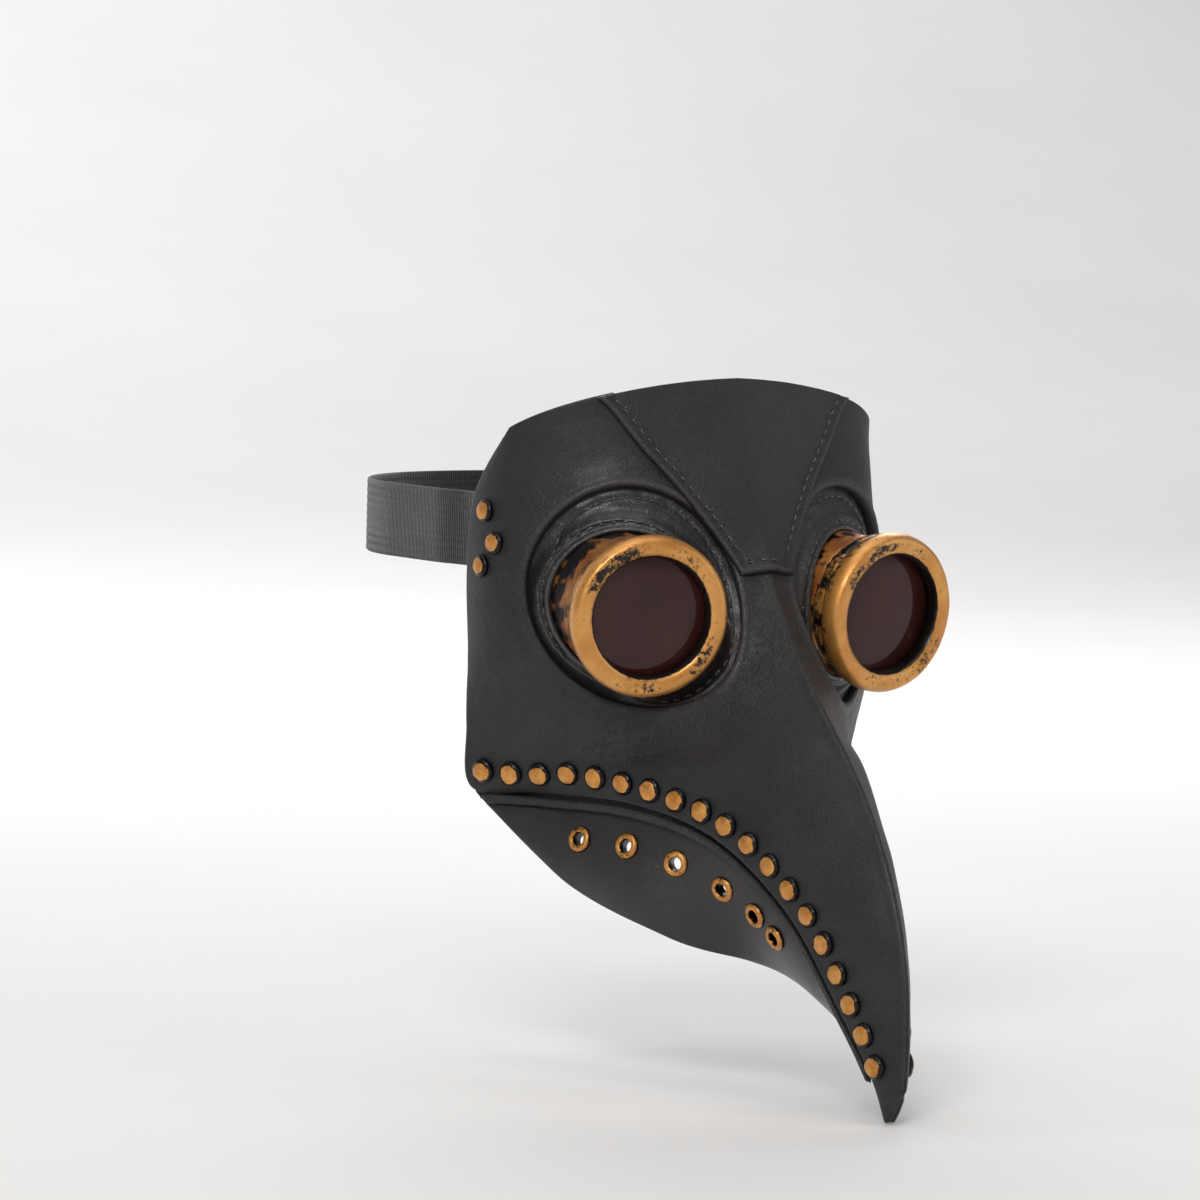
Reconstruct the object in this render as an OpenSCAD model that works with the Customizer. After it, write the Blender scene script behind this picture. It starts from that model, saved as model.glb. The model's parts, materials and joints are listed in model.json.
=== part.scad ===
// Plague doctor mask: stitched leather panels over a hollow beak, brass eyepieces with
// screw-on bezels, domed studs along the lip, eyelets in the jaw and an elastic head strap.
// Origin at the wearer's mid-eye point, the beak towards -Y, +Z up, mirrored about x = 0.

/* [Face] */
// Width across the two side edges
face_w = 150; // [138:1:164]
// Height of the forehead above the eye line
forehead_h = 80; // [72:1:90]
// Depth of the side edges behind the eye line
side_depth = 44; // [38:1:52]

/* [Beak] */
// Reach of the beak in front of the eye line
beak_reach = 120; // [95:1:150]
// Drop of the beak tip below the eye line
beak_drop = 147; // [125:1:175]

/* [Leather] */
// Thickness of every leather layer
leather_t = 2; // [1.6:0.1:2.6]
// Gap between stacked leather layers
lap_gap = 0.4; // [0.3:0.1:0.8]
// How far the jaw tucks up behind the lip
lip_lap = 13; // [11:1:16]
// Gap along the crest and keel seams
seam_gap = 0.3; // [0.2:0.1:0.8]
// Width of the raised welt below the lip
welt_w = 3.4; // [2.4:0.2:5]

/* [Eyepieces] */
// Diameter of the clear opening
lens_opening_d = 40; // [32:1:48]
// Wall of the barrel around the opening
barrel_wall = 3.5; // [2.5:0.5:5]
// How far the bezel ring stands out around the barrel
bezel_overhang = 3.5; // [2.5:0.5:5]
// Distance from the leather to the front of the bezel, on the axis
eyepiece_out = 22.5; // [20:0.5:28]
// Outward turn of each eyepiece in degrees
eye_splay = 11; // [4:1:18]
// Downward turn of each eyepiece in degrees
eye_pitch = 6; // [0:1:10]
// Thickness of the lens
lens_t = 2.2; // [1.6:0.2:3]

/* [Metalwork] */
// Number of studs along each side of the lip
stud_count = 19; // [9:1:21]
// Diameter of a stud's head
stud_d = 8.2; // [6:0.2:9]
// Number of eyelets in each side of the jaw
eyelet_count = 6; // [3:1:7]
// Diameter of an eyelet's hole
eyelet_hole_d = 4.4; // [3.6:0.2:5.4]
// Width of an eyelet's flange around its hole
eyelet_flange_w = 1.8; // [1.4:0.1:2.4]
// Diameter of a strap rivet's head
rivet_d = 7.6; // [6:0.2:8.4]

/* [Strap] */
// Width of the elastic
strap_w = 25; // [19:1:30]
// Thickness of the elastic
strap_t = 2; // [1.4:0.2:3]
// Distance from the eye line to the back of the strap loop
loop_depth = 172; // [155:1:195]

/* [Hidden] */
$fn = 64;
eps = 0.01;

// Control points of the left half at the standard size, one row for each rib from the
// forehead to the beak tip: crest, crest handle, edge handle, edge.
FACE_RIBS = [
    [[0, -2, 80], [36, -1, 79], [66, 8, 70], [70, 26, 62]],
    [[0, -10, 56], [34, -8, 55], [77, 8, 44], [74, 41, 40]],
    [[0, -21, 30], [28, -16, 27], [81, 0, 17], [75, 44, 14]],
    [[0, -34, 8], [18, -21, 4], [79, -4, -10], [75, 42, -14]],
    [[0, -50, -12], [15, -39, -17], [70, 6, -32], [75, 42, -38]],
    [[0, -66, -28], [15, -56, -34], [61, 9, -46], [72, 42, -60]],
    [[0, -81, -42], [15, -73, -46], [56, 3, -47], [56, 19, -60]],
    [[0, -97, -60], [13, -89, -63], [36, -29, -52], [42, -17, -61]],
    [[0, -110, -82], [11, -103, -83], [26, -56, -62], [29, -46, -70]],
    [[0, -118, -104], [9, -112, -104], [16, -82, -86], [18, -74, -92]],
    [[0, -120, -126], [6, -117, -126], [9, -101, -119], [10, -96, -123]],
    [[0, -119, -144], [4, -118, -144], [6, -109, -138], [6, -107, -140]],
    [[0, -113, -155], [2, -112, -156], [2, -110, -156], [1, -109, -154]]
];
// The jaw's ribs from the lip down to its lower edge and keel, for the last rows above.
JAW_RIBS = [
    [[72, 42, -60], [72, 41, -62], [71, 40, -64], [70, 38, -66]],
    [[56, 19, -60], [60, 16, -70], [59, 9, -82], [55, 5, -91]],
    [[42, -17, -61], [46, -20, -76], [44, -26, -93], [38, -29, -104]],
    [[29, -46, -70], [30, -48, -90], [14, -51, -117], [0, -50, -118]],
    [[18, -74, -92], [19, -76, -106], [8, -78, -127], [0, -78, -128]],
    [[10, -96, -123], [10, -97, -130], [4, -98, -139], [0, -97, -140]],
    [[6, -107, -140], [6, -107, -143], [3, -106, -147], [0, -105, -148]]
];
STANDARD = [150, 120, 44, 80, 147];
corner_u = 5;
jaw_end_u = 11;
tip_u = len(FACE_RIBS) - 1;

// Where the forehead panel ends: rib number, and share of the rib at its foot and its top.
v_foot_u = 2.6;
v_foot = 0.12;
v_top = 0.53;
seam_bulge = 0.6;
panel_lap = 0.08;

// Eyepiece place on the face, and the oval opening in the side panel around it.
eye_u = 2.73;
eye_v = 0.455;
opening_side_gap = 9.5;
opening_top_gap = 12.5;
opening_lift = 3;
opening_shift = 2;
surround_lap = 7;

// Depth below the face surface of the second layer, and of the metal behind it.
under = leather_t + lap_gap;
metal_gap = 0.5;
behind = under + leather_t + metal_gap;
forehead_rise = leather_t + lap_gap;

// Eyepiece stack, measured along its axis back from the front of the bezel.
fit_gap = 0.05;
lip_depth = 6;
gasket_t = 0.8;
bezel_depth = 8.5;
skirt_depth = 4;
gasket_z = eyepiece_out - lip_depth - lens_t - gasket_t;
opening_r = lens_opening_d / 2;
barrel_r = opening_r + barrel_wall;
bezel_r = barrel_r + bezel_overhang;
clamp_w = 2;
clamp_t = 1.5;
clamp_clear = 2;
flatten_w = 4;
opening_w = 2 * (barrel_r + opening_side_gap);
opening_h = 2 * (barrel_r + opening_top_gap);

stud_h = 2.4;
rivet_h = 2;
head_wall = 0.9;
// Distance from the stud row to the panel's edge, against rib number.
STUD_INSETS = [
    [4.75, 8], [5.05, 20], [5.3, 22], [5.6, 20], [6, 14.5], [7, 10.5], [8, 9], [9, 8], [10, 6], [10.8, 4]
];
shank_d = 2.4;
burr_d = 4.8;
burr_t = 0.8;
eyelet_share = 0.36;
eyelet_rise = 0.08;
eyelet_crowding = 1.35;
eyelet_start = 41;
eyelet_end = 121;
flange_t = 0.9;
eyelet_d = eyelet_hole_d + 2 * eyelet_flange_w;

// Strap: height of its centre line, its riveted ends, and the pivot where its loop swings.
strap_z = 27;
strap_end_v = 0.812;
strap_pivot_y = side_depth + strap_w / 2 + 2;
strap_end_x = face_w / 2 - under;
loop_r = strap_end_x + 0.5 + strap_t;
RIVETS = [[1.3, 0.9], [1.72, 0.85], [1.98, 0.91]];

// ---- Surface functions ----

function fitted(p) = [
    p.x * face_w / STANDARD[0],
    p.y < 0 ? p.y * beak_reach / STANDARD[1] : p.y * side_depth / STANDARD[2],
    p.z > 0 ? p.z * forehead_h / STANDARD[3] : p.z * beak_drop / STANDARD[4]
];
function unit(v) = v / norm(v);
function mix(a, b, t) = a * (1 - t) + b * t;
function ease(t) = let (c = min(1, max(0, t))) c * c * (3 - 2 * c);
function row(ribs, i, k) = fitted(ribs[min(len(ribs) - 1, max(0, i))][k]);
// Smooth curve through control point k of every rib.
function along(ribs, u, k) =
    let (i = min(len(ribs) - 2, max(0, floor(u))), t = u - i,
         a = row(ribs, i - 1, k), b = row(ribs, i, k), c = row(ribs, i + 1, k), d = row(ribs, i + 2, k))
    ((b * 2) + (c - a) * t + (a * 2 - b * 5 + c * 4 - d) * t * t
        + (b * 3 - a - c * 3 + d) * t * t * t) / 2;
function bezier(p, t) =
    p[0] * pow(1 - t, 3) + p[1] * 3 * t * pow(1 - t, 2) + p[2] * 3 * t * t * (1 - t) + p[3] * pow(t, 3);
function rib(ribs, u) = [for (k = [0:3]) along(ribs, u, k)];
function face(u, v) = let (p = bezier(rib(FACE_RIBS, u), v)) [max(p.x, 0), p.y, p.z];
function jaw_low(u, t) = let (p = bezier(rib(JAW_RIBS, u - corner_u), t)) [max(p.x, 0), p.y, p.z];
// Share of rib u that leaves a given distance to its edge.
function inset(u, distance) =
    let (r = rib(FACE_RIBS, u)) max(0.3, 1 - distance / (3 * norm(r[3] - r[2])));
// The jaw from its tuck behind the lip (t = -1) over the lip (0) to the keel (1).
function jaw(u, t) = t < 0 ? face(u, mix(1, inset(u, lip_lap), -t)) : jaw_low(u, t);
function face_normal(u, v, d = 0.02) =
    unit(cross(face(u + d, v) - face(u - d, v), face(u, v + d) - face(u, v - d)));
function jaw_normal(u, t, d = 0.02) =
    unit(cross(jaw(u + d, t) - jaw(u - d, t), jaw(u, t + d) - jaw(u, t - d)));

// Arc length along the lip, to space the studs and eyelets evenly.
lip_steps = [for (i = [0:60]) mix(corner_u, jaw_end_u, i / 60)];
lip_points = [for (u = lip_steps) face(u, 1)];
function run(points, i) = i == 0 ? 0 : run(points, i - 1) + norm(points[i] - points[i - 1]);
lip_runs = [for (i = [0:60]) run(lip_points, i)];
lip_length = lip_runs[60];
function lip_u(distance) = lookup(distance, [for (i = [0:60]) [lip_runs[i], lip_steps[i]]]);

// The stud row follows the lip, a little way in from it.
function stud_v(u) = inset(u, lookup(u, STUD_INSETS));
stud_steps = [for (i = [0:60]) mix(STUD_INSETS[0][0], STUD_INSETS[len(STUD_INSETS) - 1][0], i / 60)];
stud_points = [for (u = stud_steps) face(u, stud_v(u))];
stud_runs = [for (i = [0:60]) run(stud_points, i)];
function stud_u(share) = lookup(share * stud_runs[60], [for (i = [0:60]) [stud_runs[i], stud_steps[i]]]);

// ---- Closed shell between two depths below a grid of surface points ----

function grid_normal(g, i, j) =
    let (m = len(g) - 1, n = len(g[0]) - 1,
         du = g[min(m, i + 1)][j] - g[max(0, i - 1)][j],
         dv = g[i][min(n, j + 1)] - g[i][max(0, j - 1)],
         c = cross(du, dv))
    unit(abs(g[i][j].x) < eps ? [0, c.y, c.z] : c);

module shell(g, near, far, shift = 0) {
    m = len(g) - 1;
    n = len(g[0]) - 1;
    count = (m + 1) * (n + 1);
    // A shell that starts at the seam plane never crosses it.
    kept = function (p) shift > 0 ? [max(p.x, 0) + shift, p.y, p.z] : p;
    layer = function (depth) [
        for (i = [0:m]) for (j = [0:n]) kept(g[i][j] - grid_normal(g, i, j) * depth)
    ];
    at = function (i, j, k) k * count + i * (n + 1) + j;
    quad = function (a, b, c, d) [[a, b, c], [a, c, d]];
    faces = [
        for (i = [0:m - 1]) for (j = [0:n - 1]) for (f = concat(
            quad(at(i, j, 0), at(i, j + 1, 0), at(i + 1, j + 1, 0), at(i + 1, j, 0)),
            quad(at(i, j, 1), at(i + 1, j, 1), at(i + 1, j + 1, 1), at(i, j + 1, 1)))) f,
        for (i = [0:m - 1]) for (f = concat(
            quad(at(i, 0, 0), at(i + 1, 0, 0), at(i + 1, 0, 1), at(i, 0, 1)),
            quad(at(i, n, 0), at(i, n, 1), at(i + 1, n, 1), at(i + 1, n, 0)))) f,
        for (j = [0:n - 1]) for (f = concat(
            quad(at(0, j, 0), at(0, j, 1), at(0, j + 1, 1), at(0, j + 1, 0)),
            quad(at(m, j, 0), at(m, j + 1, 0), at(m, j + 1, 1), at(m, j, 1)))) f
    ];
    polyhedron(concat(layer(near), layer(far)), faces);
}

// ---- Placing helpers ----

module facing(normal) {
    rotate([0, acos(normal.z), atan2(normal.y, normal.x)]) children();
}

module both_or_right(side) {
    mirror([side == "right" ? 1 : 0, 0, 0]) children();
}

eye_centre = face(eye_u, eye_v);
eye_plane = face_normal(eye_u, eye_v);
eye_axis = [sin(eye_splay) * cos(eye_pitch), -cos(eye_splay) * cos(eye_pitch), -sin(eye_pitch)];

// Frame whose +Z runs out along the eyepiece and whose origin lies on the face.
module at_eye() {
    translate(eye_centre) facing(eye_axis) children();
}

// Half space behind the face plane at the eye, below a given depth.
module behind_plane(depth) {
    translate(eye_centre - eye_plane * depth) facing(eye_plane)
        translate([-60, -60, -80]) cube([120, 120, 80]);
}

module oval(grow) {
    translate(eye_centre + [-opening_shift, 0, opening_lift]) facing(eye_axis) rotate(90)
        linear_extrude(120, center = true)
            polygon([for (a = [0:7.5:352.5])
                [(opening_w / 2 + grow) * cos(a), (opening_h / 2 + grow) * sin(a)]]);
}

// ---- Leather ----

function seam_v(u) = let (t = u / v_foot_u) mix(v_top, v_foot, t + seam_bulge * t * (1 - t));
function panel_start(u) = max(0, seam_v(u) - panel_lap) * (1 - ease((u - v_foot_u + 1) / 0.7));

module forehead_panel() {
    color("dimgray")
        shell([for (i = [0:12]) let (u = mix(0.05, v_foot_u, i / 12)) [
            for (s = [-1:0.125:1]) let (p = face(u, abs(s) * seam_v(u)))
                [s < 0 ? -p.x : p.x, p.y, p.z]
        ]], -forehead_rise, -lap_gap);
}

module side_panel(side) {
    color("dimgray") both_or_right(side) difference() {
        shell([for (i = [0:44]) let (u = tip_u * i / 44, start = panel_start(u)) [
            for (j = [0:14]) face(u, mix(start, 1, j / 14))
        ]], 0, leather_t, seam_gap / 2);
        oval(0);
    }
}

// Point of the surround: the face surface, flattened around the barrel.
function surround_point(u, v) =
    let (p = face(u, v), out = p - eye_centre,
         far = norm(out - eye_axis * (out * eye_axis)),
         flat = 1 - ease((far - barrel_r - clamp_w - clamp_clear) / flatten_w))
    p - eye_plane * (out * eye_plane) * flat;

module eye_surround(side) {
    color("gray") both_or_right(side) difference() {
        intersection() {
            shell([for (i = [0:30]) let (u = mix(1.1, 4.9, i / 30)) [
                for (j = [0:26]) surround_point(u, mix(0.1, 0.8, j / 26))
            ]], under, under + leather_t);
            oval(surround_lap);
        }
        at_eye() cylinder(h = 120, r = barrel_r + fit_gap, center = true);
    }
}

module jaw_panel(side) {
    color("dimgray") both_or_right(side) difference() {
        shell([for (i = [0:40]) let (u = mix(corner_u, jaw_end_u, i / 40)) [
            for (j = [0:14]) jaw(u, j < 3 ? j / 3 - 1 : (j - 3) / 11)
        ]], under, under + leather_t, seam_gap / 2);
        at_eyelets() cylinder(h = 20, d = eyelet_hole_d + 1.4, center = true);
    }
}

module lip_welt(side) {
    rings = 64;
    outline = [for (a = [0:45:315]) [welt_w / 2 * cos(a), 1.4 * sin(a)]];
    section = function (i) let (u = mix(corner_u + 0.15, jaw_end_u, i / rings),
        down = unit(jaw_low(u, 0.06) - jaw_low(u, 0)),
        out = jaw_normal(u, 0.1),
        centre = jaw_low(u, 0) + down * (welt_w / 2 + 1.1) - out * (under - 1.5))
        [for (p = outline) centre + down * p.x + out * p.y];
    points = [for (i = [0:rings]) for (p = section(i)) p];
    faces = concat([[for (k = [7:-1:0]) k]], [[for (k = [0:7]) rings * 8 + k]],
        [for (i = [0:rings - 1]) for (k = [0:7]) let (a = i * 8 + k, b = i * 8 + (k + 1) % 8)
            for (f = [[a, b, b + 8], [a, b + 8, a + 8]]) f]);
    color("dimgray") both_or_right(side) polyhedron(points, faces);
}

// ---- Studs, eyelets and rivets ----

// Near the tip the shanks are shorter and the burrs sink into the tuck, clear of the seam.
module at_studs() {
    for (i = [0:stud_count - 1]) {
        u = stud_u(i / (stud_count - 1));
        point = face(u, stud_v(u));
        normal = face_normal(u, stud_v(u));
        $reach = min(behind, (point.x - burr_d / 4) / normal.x - burr_t);
        translate(point) facing(normal) children();
    }
}

module at_eyelets(depth = 0) {
    for (i = [0:eyelet_count - 1]) {
        share = i / (eyelet_count - 1);
        u = lip_u(mix(eyelet_end, eyelet_start, pow(1 - share, eyelet_crowding)));
        t = eyelet_share - eyelet_rise * 4 * share * (1 - share);
        normal = jaw_normal(u, t);
        translate(jaw(u, t) - normal * (under + depth)) facing(normal) children();
    }
}

module at_rivets(depth = 0) {
    for (p = RIVETS) {
        normal = face_normal(p.x, p.y);
        translate(face(p.x, p.y) - normal * depth) facing(normal) children();
    }
}

// A low domed head on a short wall, on a shank that reaches down through the leather.
module pellet(diameter, height, shank) {
    crown = height - head_wall;
    radius = (pow(diameter / 2, 2) + crown * crown) / (2 * crown);
    intersection() {
        translate([0, 0, height - radius]) sphere(radius);
        cylinder(h = height + 1, d = diameter);
    }
    translate([0, 0, -shank]) cylinder(h = shank + 0.4, d = shank_d);
}

module burr(hole) {
    difference() {
        cylinder(h = burr_t, d = burr_d);
        translate([0, 0, -1]) cylinder(h = burr_t + 2, d = hole);
    }
}

module lip_studs(side) {
    color("goldenrod") both_or_right(side) at_studs() pellet(stud_d, stud_h, $reach + burr_t);
}

module stud_burrs(side) {
    color("darkgoldenrod") both_or_right(side) at_studs()
        translate([0, 0, -$reach - burr_t]) burr(shank_d);
}

module jaw_eyelets(side) {
    color("goldenrod") both_or_right(side) at_eyelets() rotate_extrude() polygon([
        [eyelet_hole_d / 2, flange_t], [eyelet_hole_d / 2, -leather_t - 1.2],
        [eyelet_hole_d / 2 + 0.5, -leather_t - 1.2], [eyelet_hole_d / 2 + 0.5, 0],
        [eyelet_d / 2, 0], [eyelet_d / 2 - 0.4, flange_t * 0.7], [eyelet_d / 2 - 1, flange_t]
    ]);
}

module eyelet_washers(side) {
    color("darkgoldenrod") both_or_right(side) at_eyelets(leather_t + 0.9) difference() {
        cylinder(h = burr_t, d = eyelet_d);
        translate([0, 0, -1]) cylinder(h = burr_t + 2, d = eyelet_hole_d + 1);
    }
}

module strap_rivets(side) {
    color("goldenrod") both_or_right(side) at_rivets()
        pellet(rivet_d, rivet_h, under + strap_t + metal_gap + burr_t);
}

module rivet_burrs(side) {
    color("darkgoldenrod") both_or_right(side)
        at_rivets(under + strap_t + metal_gap + burr_t) burr(shank_d);
}

// ---- Eyepieces ----

module eyepiece_barrel(side) {
    color("peru") both_or_right(side) difference() {
        at_eye() difference() {
            translate([0, 0, -40]) cylinder(h = 40 + gasket_z, r = barrel_r);
            translate([0, 0, -41]) cylinder(h = 80, r = opening_r);
        }
        behind_plane(behind + clamp_t + 1);
    }
}

module barrel_clamp(side) {
    color("peru") both_or_right(side) difference() {
        translate(eye_centre - eye_plane * (behind + clamp_t)) facing(eye_plane)
            cylinder(h = clamp_t, r = barrel_r + clamp_w);
        at_eye() cylinder(h = 100, r = barrel_r, center = true);
    }
}

module lens_gasket(side) {
    color("black") both_or_right(side) at_eye() translate([0, 0, gasket_z]) difference() {
        cylinder(h = gasket_t, r = barrel_r - 0.3);
        translate([0, 0, -1]) cylinder(h = gasket_t + 2, r = opening_r + 0.2);
    }
}

module lens(side) {
    color("saddlebrown", 0.7) both_or_right(side) at_eye()
        translate([0, 0, gasket_z + gasket_t]) cylinder(h = lens_t, r = barrel_r - 0.3);
}

module bezel_ring(side) {
    skirt_r = (barrel_r + bezel_r) / 2;
    seat_z = eyepiece_out - lip_depth;
    bulge = bezel_depth / 2;
    color("goldenrod") both_or_right(side) at_eye() rotate_extrude() polygon(concat(
        [[opening_r, seat_z], [opening_r, eyepiece_out - 1.4], [opening_r + 1, eyepiece_out - 0.4],
            [opening_r + 2.4, eyepiece_out]],
        [for (a = [80:-20:-80])
            [bezel_r - 2.5 + 2.5 * cos(a), eyepiece_out - bulge + bulge * sin(a)]],
        [[skirt_r, eyepiece_out - bezel_depth],
            [skirt_r, eyepiece_out - bezel_depth - skirt_depth],
            [barrel_r + fit_gap, eyepiece_out - bezel_depth - skirt_depth],
            [barrel_r + fit_gap, seat_z]]));
}

// ---- Strap ----

// The side surface, carried straight back past the panel's edge.
function strap_point(u, v) = face(u, min(v, 1)) + [0, max(0, v - 1) * strap_pivot_y, 0];

module strap_end(side) {
    past_edge = 1 + (strap_pivot_y + strap_w / 2 - side_depth) / strap_pivot_y;
    color("black") both_or_right(side) intersection() {
        shell([for (i = [0:8]) let (u = mix(0.9, 2.9, i / 8)) [
            for (v = [strap_end_v, 0.85, 0.92, 1, past_edge]) strap_point(u, v)
        ]], under, under + strap_t);
        translate([40, 0, strap_z - strap_w / 2]) cube([60, 120, strap_w]);
    }
}

// The loop in plan: straight sides and a round back.
module loop_plan(radius) {
    back = loop_depth - loop_r;
    translate([0, back]) circle(radius);
    translate([-radius, strap_pivot_y]) square([2 * radius, back - strap_pivot_y]);
}

module head_strap() {
    color("black") {
        translate([0, 0, strap_z - strap_w / 2]) linear_extrude(strap_w) difference() {
            loop_plan(loop_r);
            loop_plan(loop_r - strap_t);
            translate([-loop_r, strap_pivot_y - loop_r - 60])
                square([2 * loop_r, loop_r + 60]);
        }
        for (x = [-loop_r, loop_r - strap_t])
            translate([x, strap_pivot_y, strap_z]) rotate([0, 90, 0]) cylinder(h = strap_t, d = strap_w);
    }
}

forehead_panel();
side_panel("left");  // side_panel_left
side_panel("right");  // side_panel_right
eye_surround("left");  // eye_surround_left
eye_surround("right");  // eye_surround_right
jaw_panel("left");  // jaw_panel_left
jaw_panel("right");  // jaw_panel_right
lip_welt("left");  // lip_welt_left
lip_welt("right");  // lip_welt_right
lip_studs("left");  // lip_studs_left
lip_studs("right");  // lip_studs_right
stud_burrs("left");  // stud_burrs_left
stud_burrs("right");  // stud_burrs_right
jaw_eyelets("left");  // jaw_eyelets_left
jaw_eyelets("right");  // jaw_eyelets_right
eyelet_washers("left");  // eyelet_washers_left
eyelet_washers("right");  // eyelet_washers_right
eyepiece_barrel("left");  // eyepiece_barrel_left
eyepiece_barrel("right");  // eyepiece_barrel_right
barrel_clamp("left");  // barrel_clamp_left
barrel_clamp("right");  // barrel_clamp_right
lens_gasket("left");  // lens_gasket_left
lens_gasket("right");  // lens_gasket_right
lens("left");  // lens_left
lens("right");  // lens_right
bezel_ring("left");  // bezel_ring_left
bezel_ring("right");  // bezel_ring_right
strap_end("left");  // strap_end_left
strap_end("right");  // strap_end_right
strap_rivets("left");  // strap_rivets_left
strap_rivets("right");  // strap_rivets_right
rivet_burrs("left");  // rivet_burrs_left
rivet_burrs("right");  // rivet_burrs_right
head_strap();
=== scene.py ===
# Plague doctor mask: stitched black leather, gilt screw eyepieces, studs and eyelets, elastic strap.
import json
import math
import random
import bpy
import bmesh
import numpy as np
from mathutils import Vector, Matrix, noise


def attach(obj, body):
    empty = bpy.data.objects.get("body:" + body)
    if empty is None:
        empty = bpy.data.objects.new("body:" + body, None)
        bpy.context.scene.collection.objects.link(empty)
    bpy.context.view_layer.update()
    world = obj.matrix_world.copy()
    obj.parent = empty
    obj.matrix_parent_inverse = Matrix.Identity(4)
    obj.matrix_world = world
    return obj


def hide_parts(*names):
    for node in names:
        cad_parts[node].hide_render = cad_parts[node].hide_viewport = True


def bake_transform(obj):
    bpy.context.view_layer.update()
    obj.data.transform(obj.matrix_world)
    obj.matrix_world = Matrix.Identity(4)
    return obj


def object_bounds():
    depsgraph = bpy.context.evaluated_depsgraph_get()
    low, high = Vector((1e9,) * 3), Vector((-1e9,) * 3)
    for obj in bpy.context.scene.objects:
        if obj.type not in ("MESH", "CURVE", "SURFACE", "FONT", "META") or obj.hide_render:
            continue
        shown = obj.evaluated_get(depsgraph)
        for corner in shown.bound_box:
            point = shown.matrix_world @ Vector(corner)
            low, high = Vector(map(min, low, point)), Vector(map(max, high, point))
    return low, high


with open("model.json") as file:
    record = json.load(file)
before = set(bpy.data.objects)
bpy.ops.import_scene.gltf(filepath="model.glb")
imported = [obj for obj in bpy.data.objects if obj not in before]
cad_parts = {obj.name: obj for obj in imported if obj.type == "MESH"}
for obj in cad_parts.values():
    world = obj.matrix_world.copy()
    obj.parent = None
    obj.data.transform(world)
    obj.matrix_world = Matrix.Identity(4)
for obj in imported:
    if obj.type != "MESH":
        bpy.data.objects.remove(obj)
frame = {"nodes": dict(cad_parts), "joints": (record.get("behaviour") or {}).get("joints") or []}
cadLow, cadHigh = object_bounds()
nodes = frame["nodes"]
mm = 0.001
print("frame loaded:", len(nodes), "nodes")

# angles in degrees, distances in metres, the lens in mm
cameraSettings = {"azimuth": -31, "elevation": 4, "roll": 1.5, "distance": 2.3, "lens": 206.3,
                  "aimRight": -0.0418, "aimUp": 0.0054}


def makeCamera(s):
    a, e, r = (math.radians(s[k]) for k in ("azimuth", "elevation", "roll"))
    back = Vector((math.sin(a) * math.cos(e), -math.cos(a) * math.cos(e), math.sin(e)))
    level = Vector((math.cos(a), math.sin(a), 0))
    upright = back.cross(level)
    right = level * math.cos(r) + upright * math.sin(r)
    up = upright * math.cos(r) - level * math.sin(r)
    place = back * s["distance"]
    aim = right * s["aimRight"] + up * s["aimUp"]
    back = (place - aim).normalized()
    right = up.cross(back).normalized()
    up = back.cross(right)
    data = bpy.data.cameras.new("studioCamera")
    data.lens, data.sensor_width = s["lens"], 36
    data.clip_start, data.clip_end = 0.05, 50
    obj = bpy.data.objects.new("studioCamera", data)
    obj.matrix_world = Matrix((right, up, back)).transposed().to_4x4()
    obj.location = place
    bpy.context.scene.collection.objects.link(obj)
    bpy.context.scene.camera = obj


makeCamera(cameraSettings)

# Ribs of the left half from the forehead to the beak tip: crest, crest handle, edge handle, edge.
faceRibs = np.array([
    [[0, -2, 80], [36, -1, 79], [66, 8, 70], [70, 26, 62]],
    [[0, -10, 56], [34, -8, 55], [77, 8, 44], [74, 41, 40]],
    [[0, -21, 30], [28, -16, 27], [81, 0, 17], [75, 44, 14]],
    [[0, -34, 8], [18, -21, 4], [79, -4, -10], [75, 42, -14]],
    [[0, -50, -12], [15, -39, -17], [70, 6, -32], [75, 42, -38]],
    [[0, -66, -28], [15, -56, -34], [61, 9, -46], [72, 42, -60]],
    [[0, -81, -42], [15, -73, -46], [56, 3, -47], [56, 19, -60]],
    [[0, -97, -60], [13, -89, -63], [36, -29, -52], [42, -17, -61]],
    [[0, -110, -82], [11, -103, -83], [26, -56, -62], [29, -46, -70]],
    [[0, -118, -104], [9, -112, -104], [16, -82, -86], [18, -74, -92]],
    [[0, -120, -126], [6, -117, -126], [9, -101, -119], [10, -96, -123]],
    [[0, -119, -144], [4, -118, -144], [6, -109, -138], [6, -107, -140]],
    [[0, -113, -155], [2, -112, -156], [2, -110, -156], [1, -109, -154]]], float) * mm
# The jaw's ribs from the lip down to its lower edge and keel, beside face ribs 5 to 11.
jawRibs = np.array([
    [[72, 42, -60], [72, 41, -62], [71, 40, -64], [70, 38, -66]],
    [[56, 19, -60], [60, 16, -70], [59, 9, -82], [55, 5, -91]],
    [[42, -17, -61], [46, -20, -76], [44, -26, -93], [38, -29, -104]],
    [[29, -46, -70], [30, -48, -90], [14, -51, -117], [0, -50, -118]],
    [[18, -74, -92], [19, -76, -106], [8, -78, -127], [0, -78, -128]],
    [[10, -96, -123], [10, -97, -130], [4, -98, -139], [0, -97, -140]],
    [[6, -107, -140], [6, -107, -143], [3, -106, -147], [0, -105, -148]]], float) * mm

mask = {"thickness": 2.0 * mm, "under": 2.4 * mm, "lipLap": 13 * mm, "seamHalf": 0.004 * mm,
        "cornerRib": 5, "jawEndRib": 11, "tipRib": 12,
        "seamFootRib": 2.6, "seamFoot": 0.12, "seamTop": 0.53, "seamBulge": 0.6, "panelLap": 0.08}


def ease(t):
    t = np.clip(t, 0, 1)
    return t * t * (3 - 2 * t)


def bump(d, width):  # 1 at d = 0, fading over width
    return np.exp(-(np.asarray(d) / width) ** 2)


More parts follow.
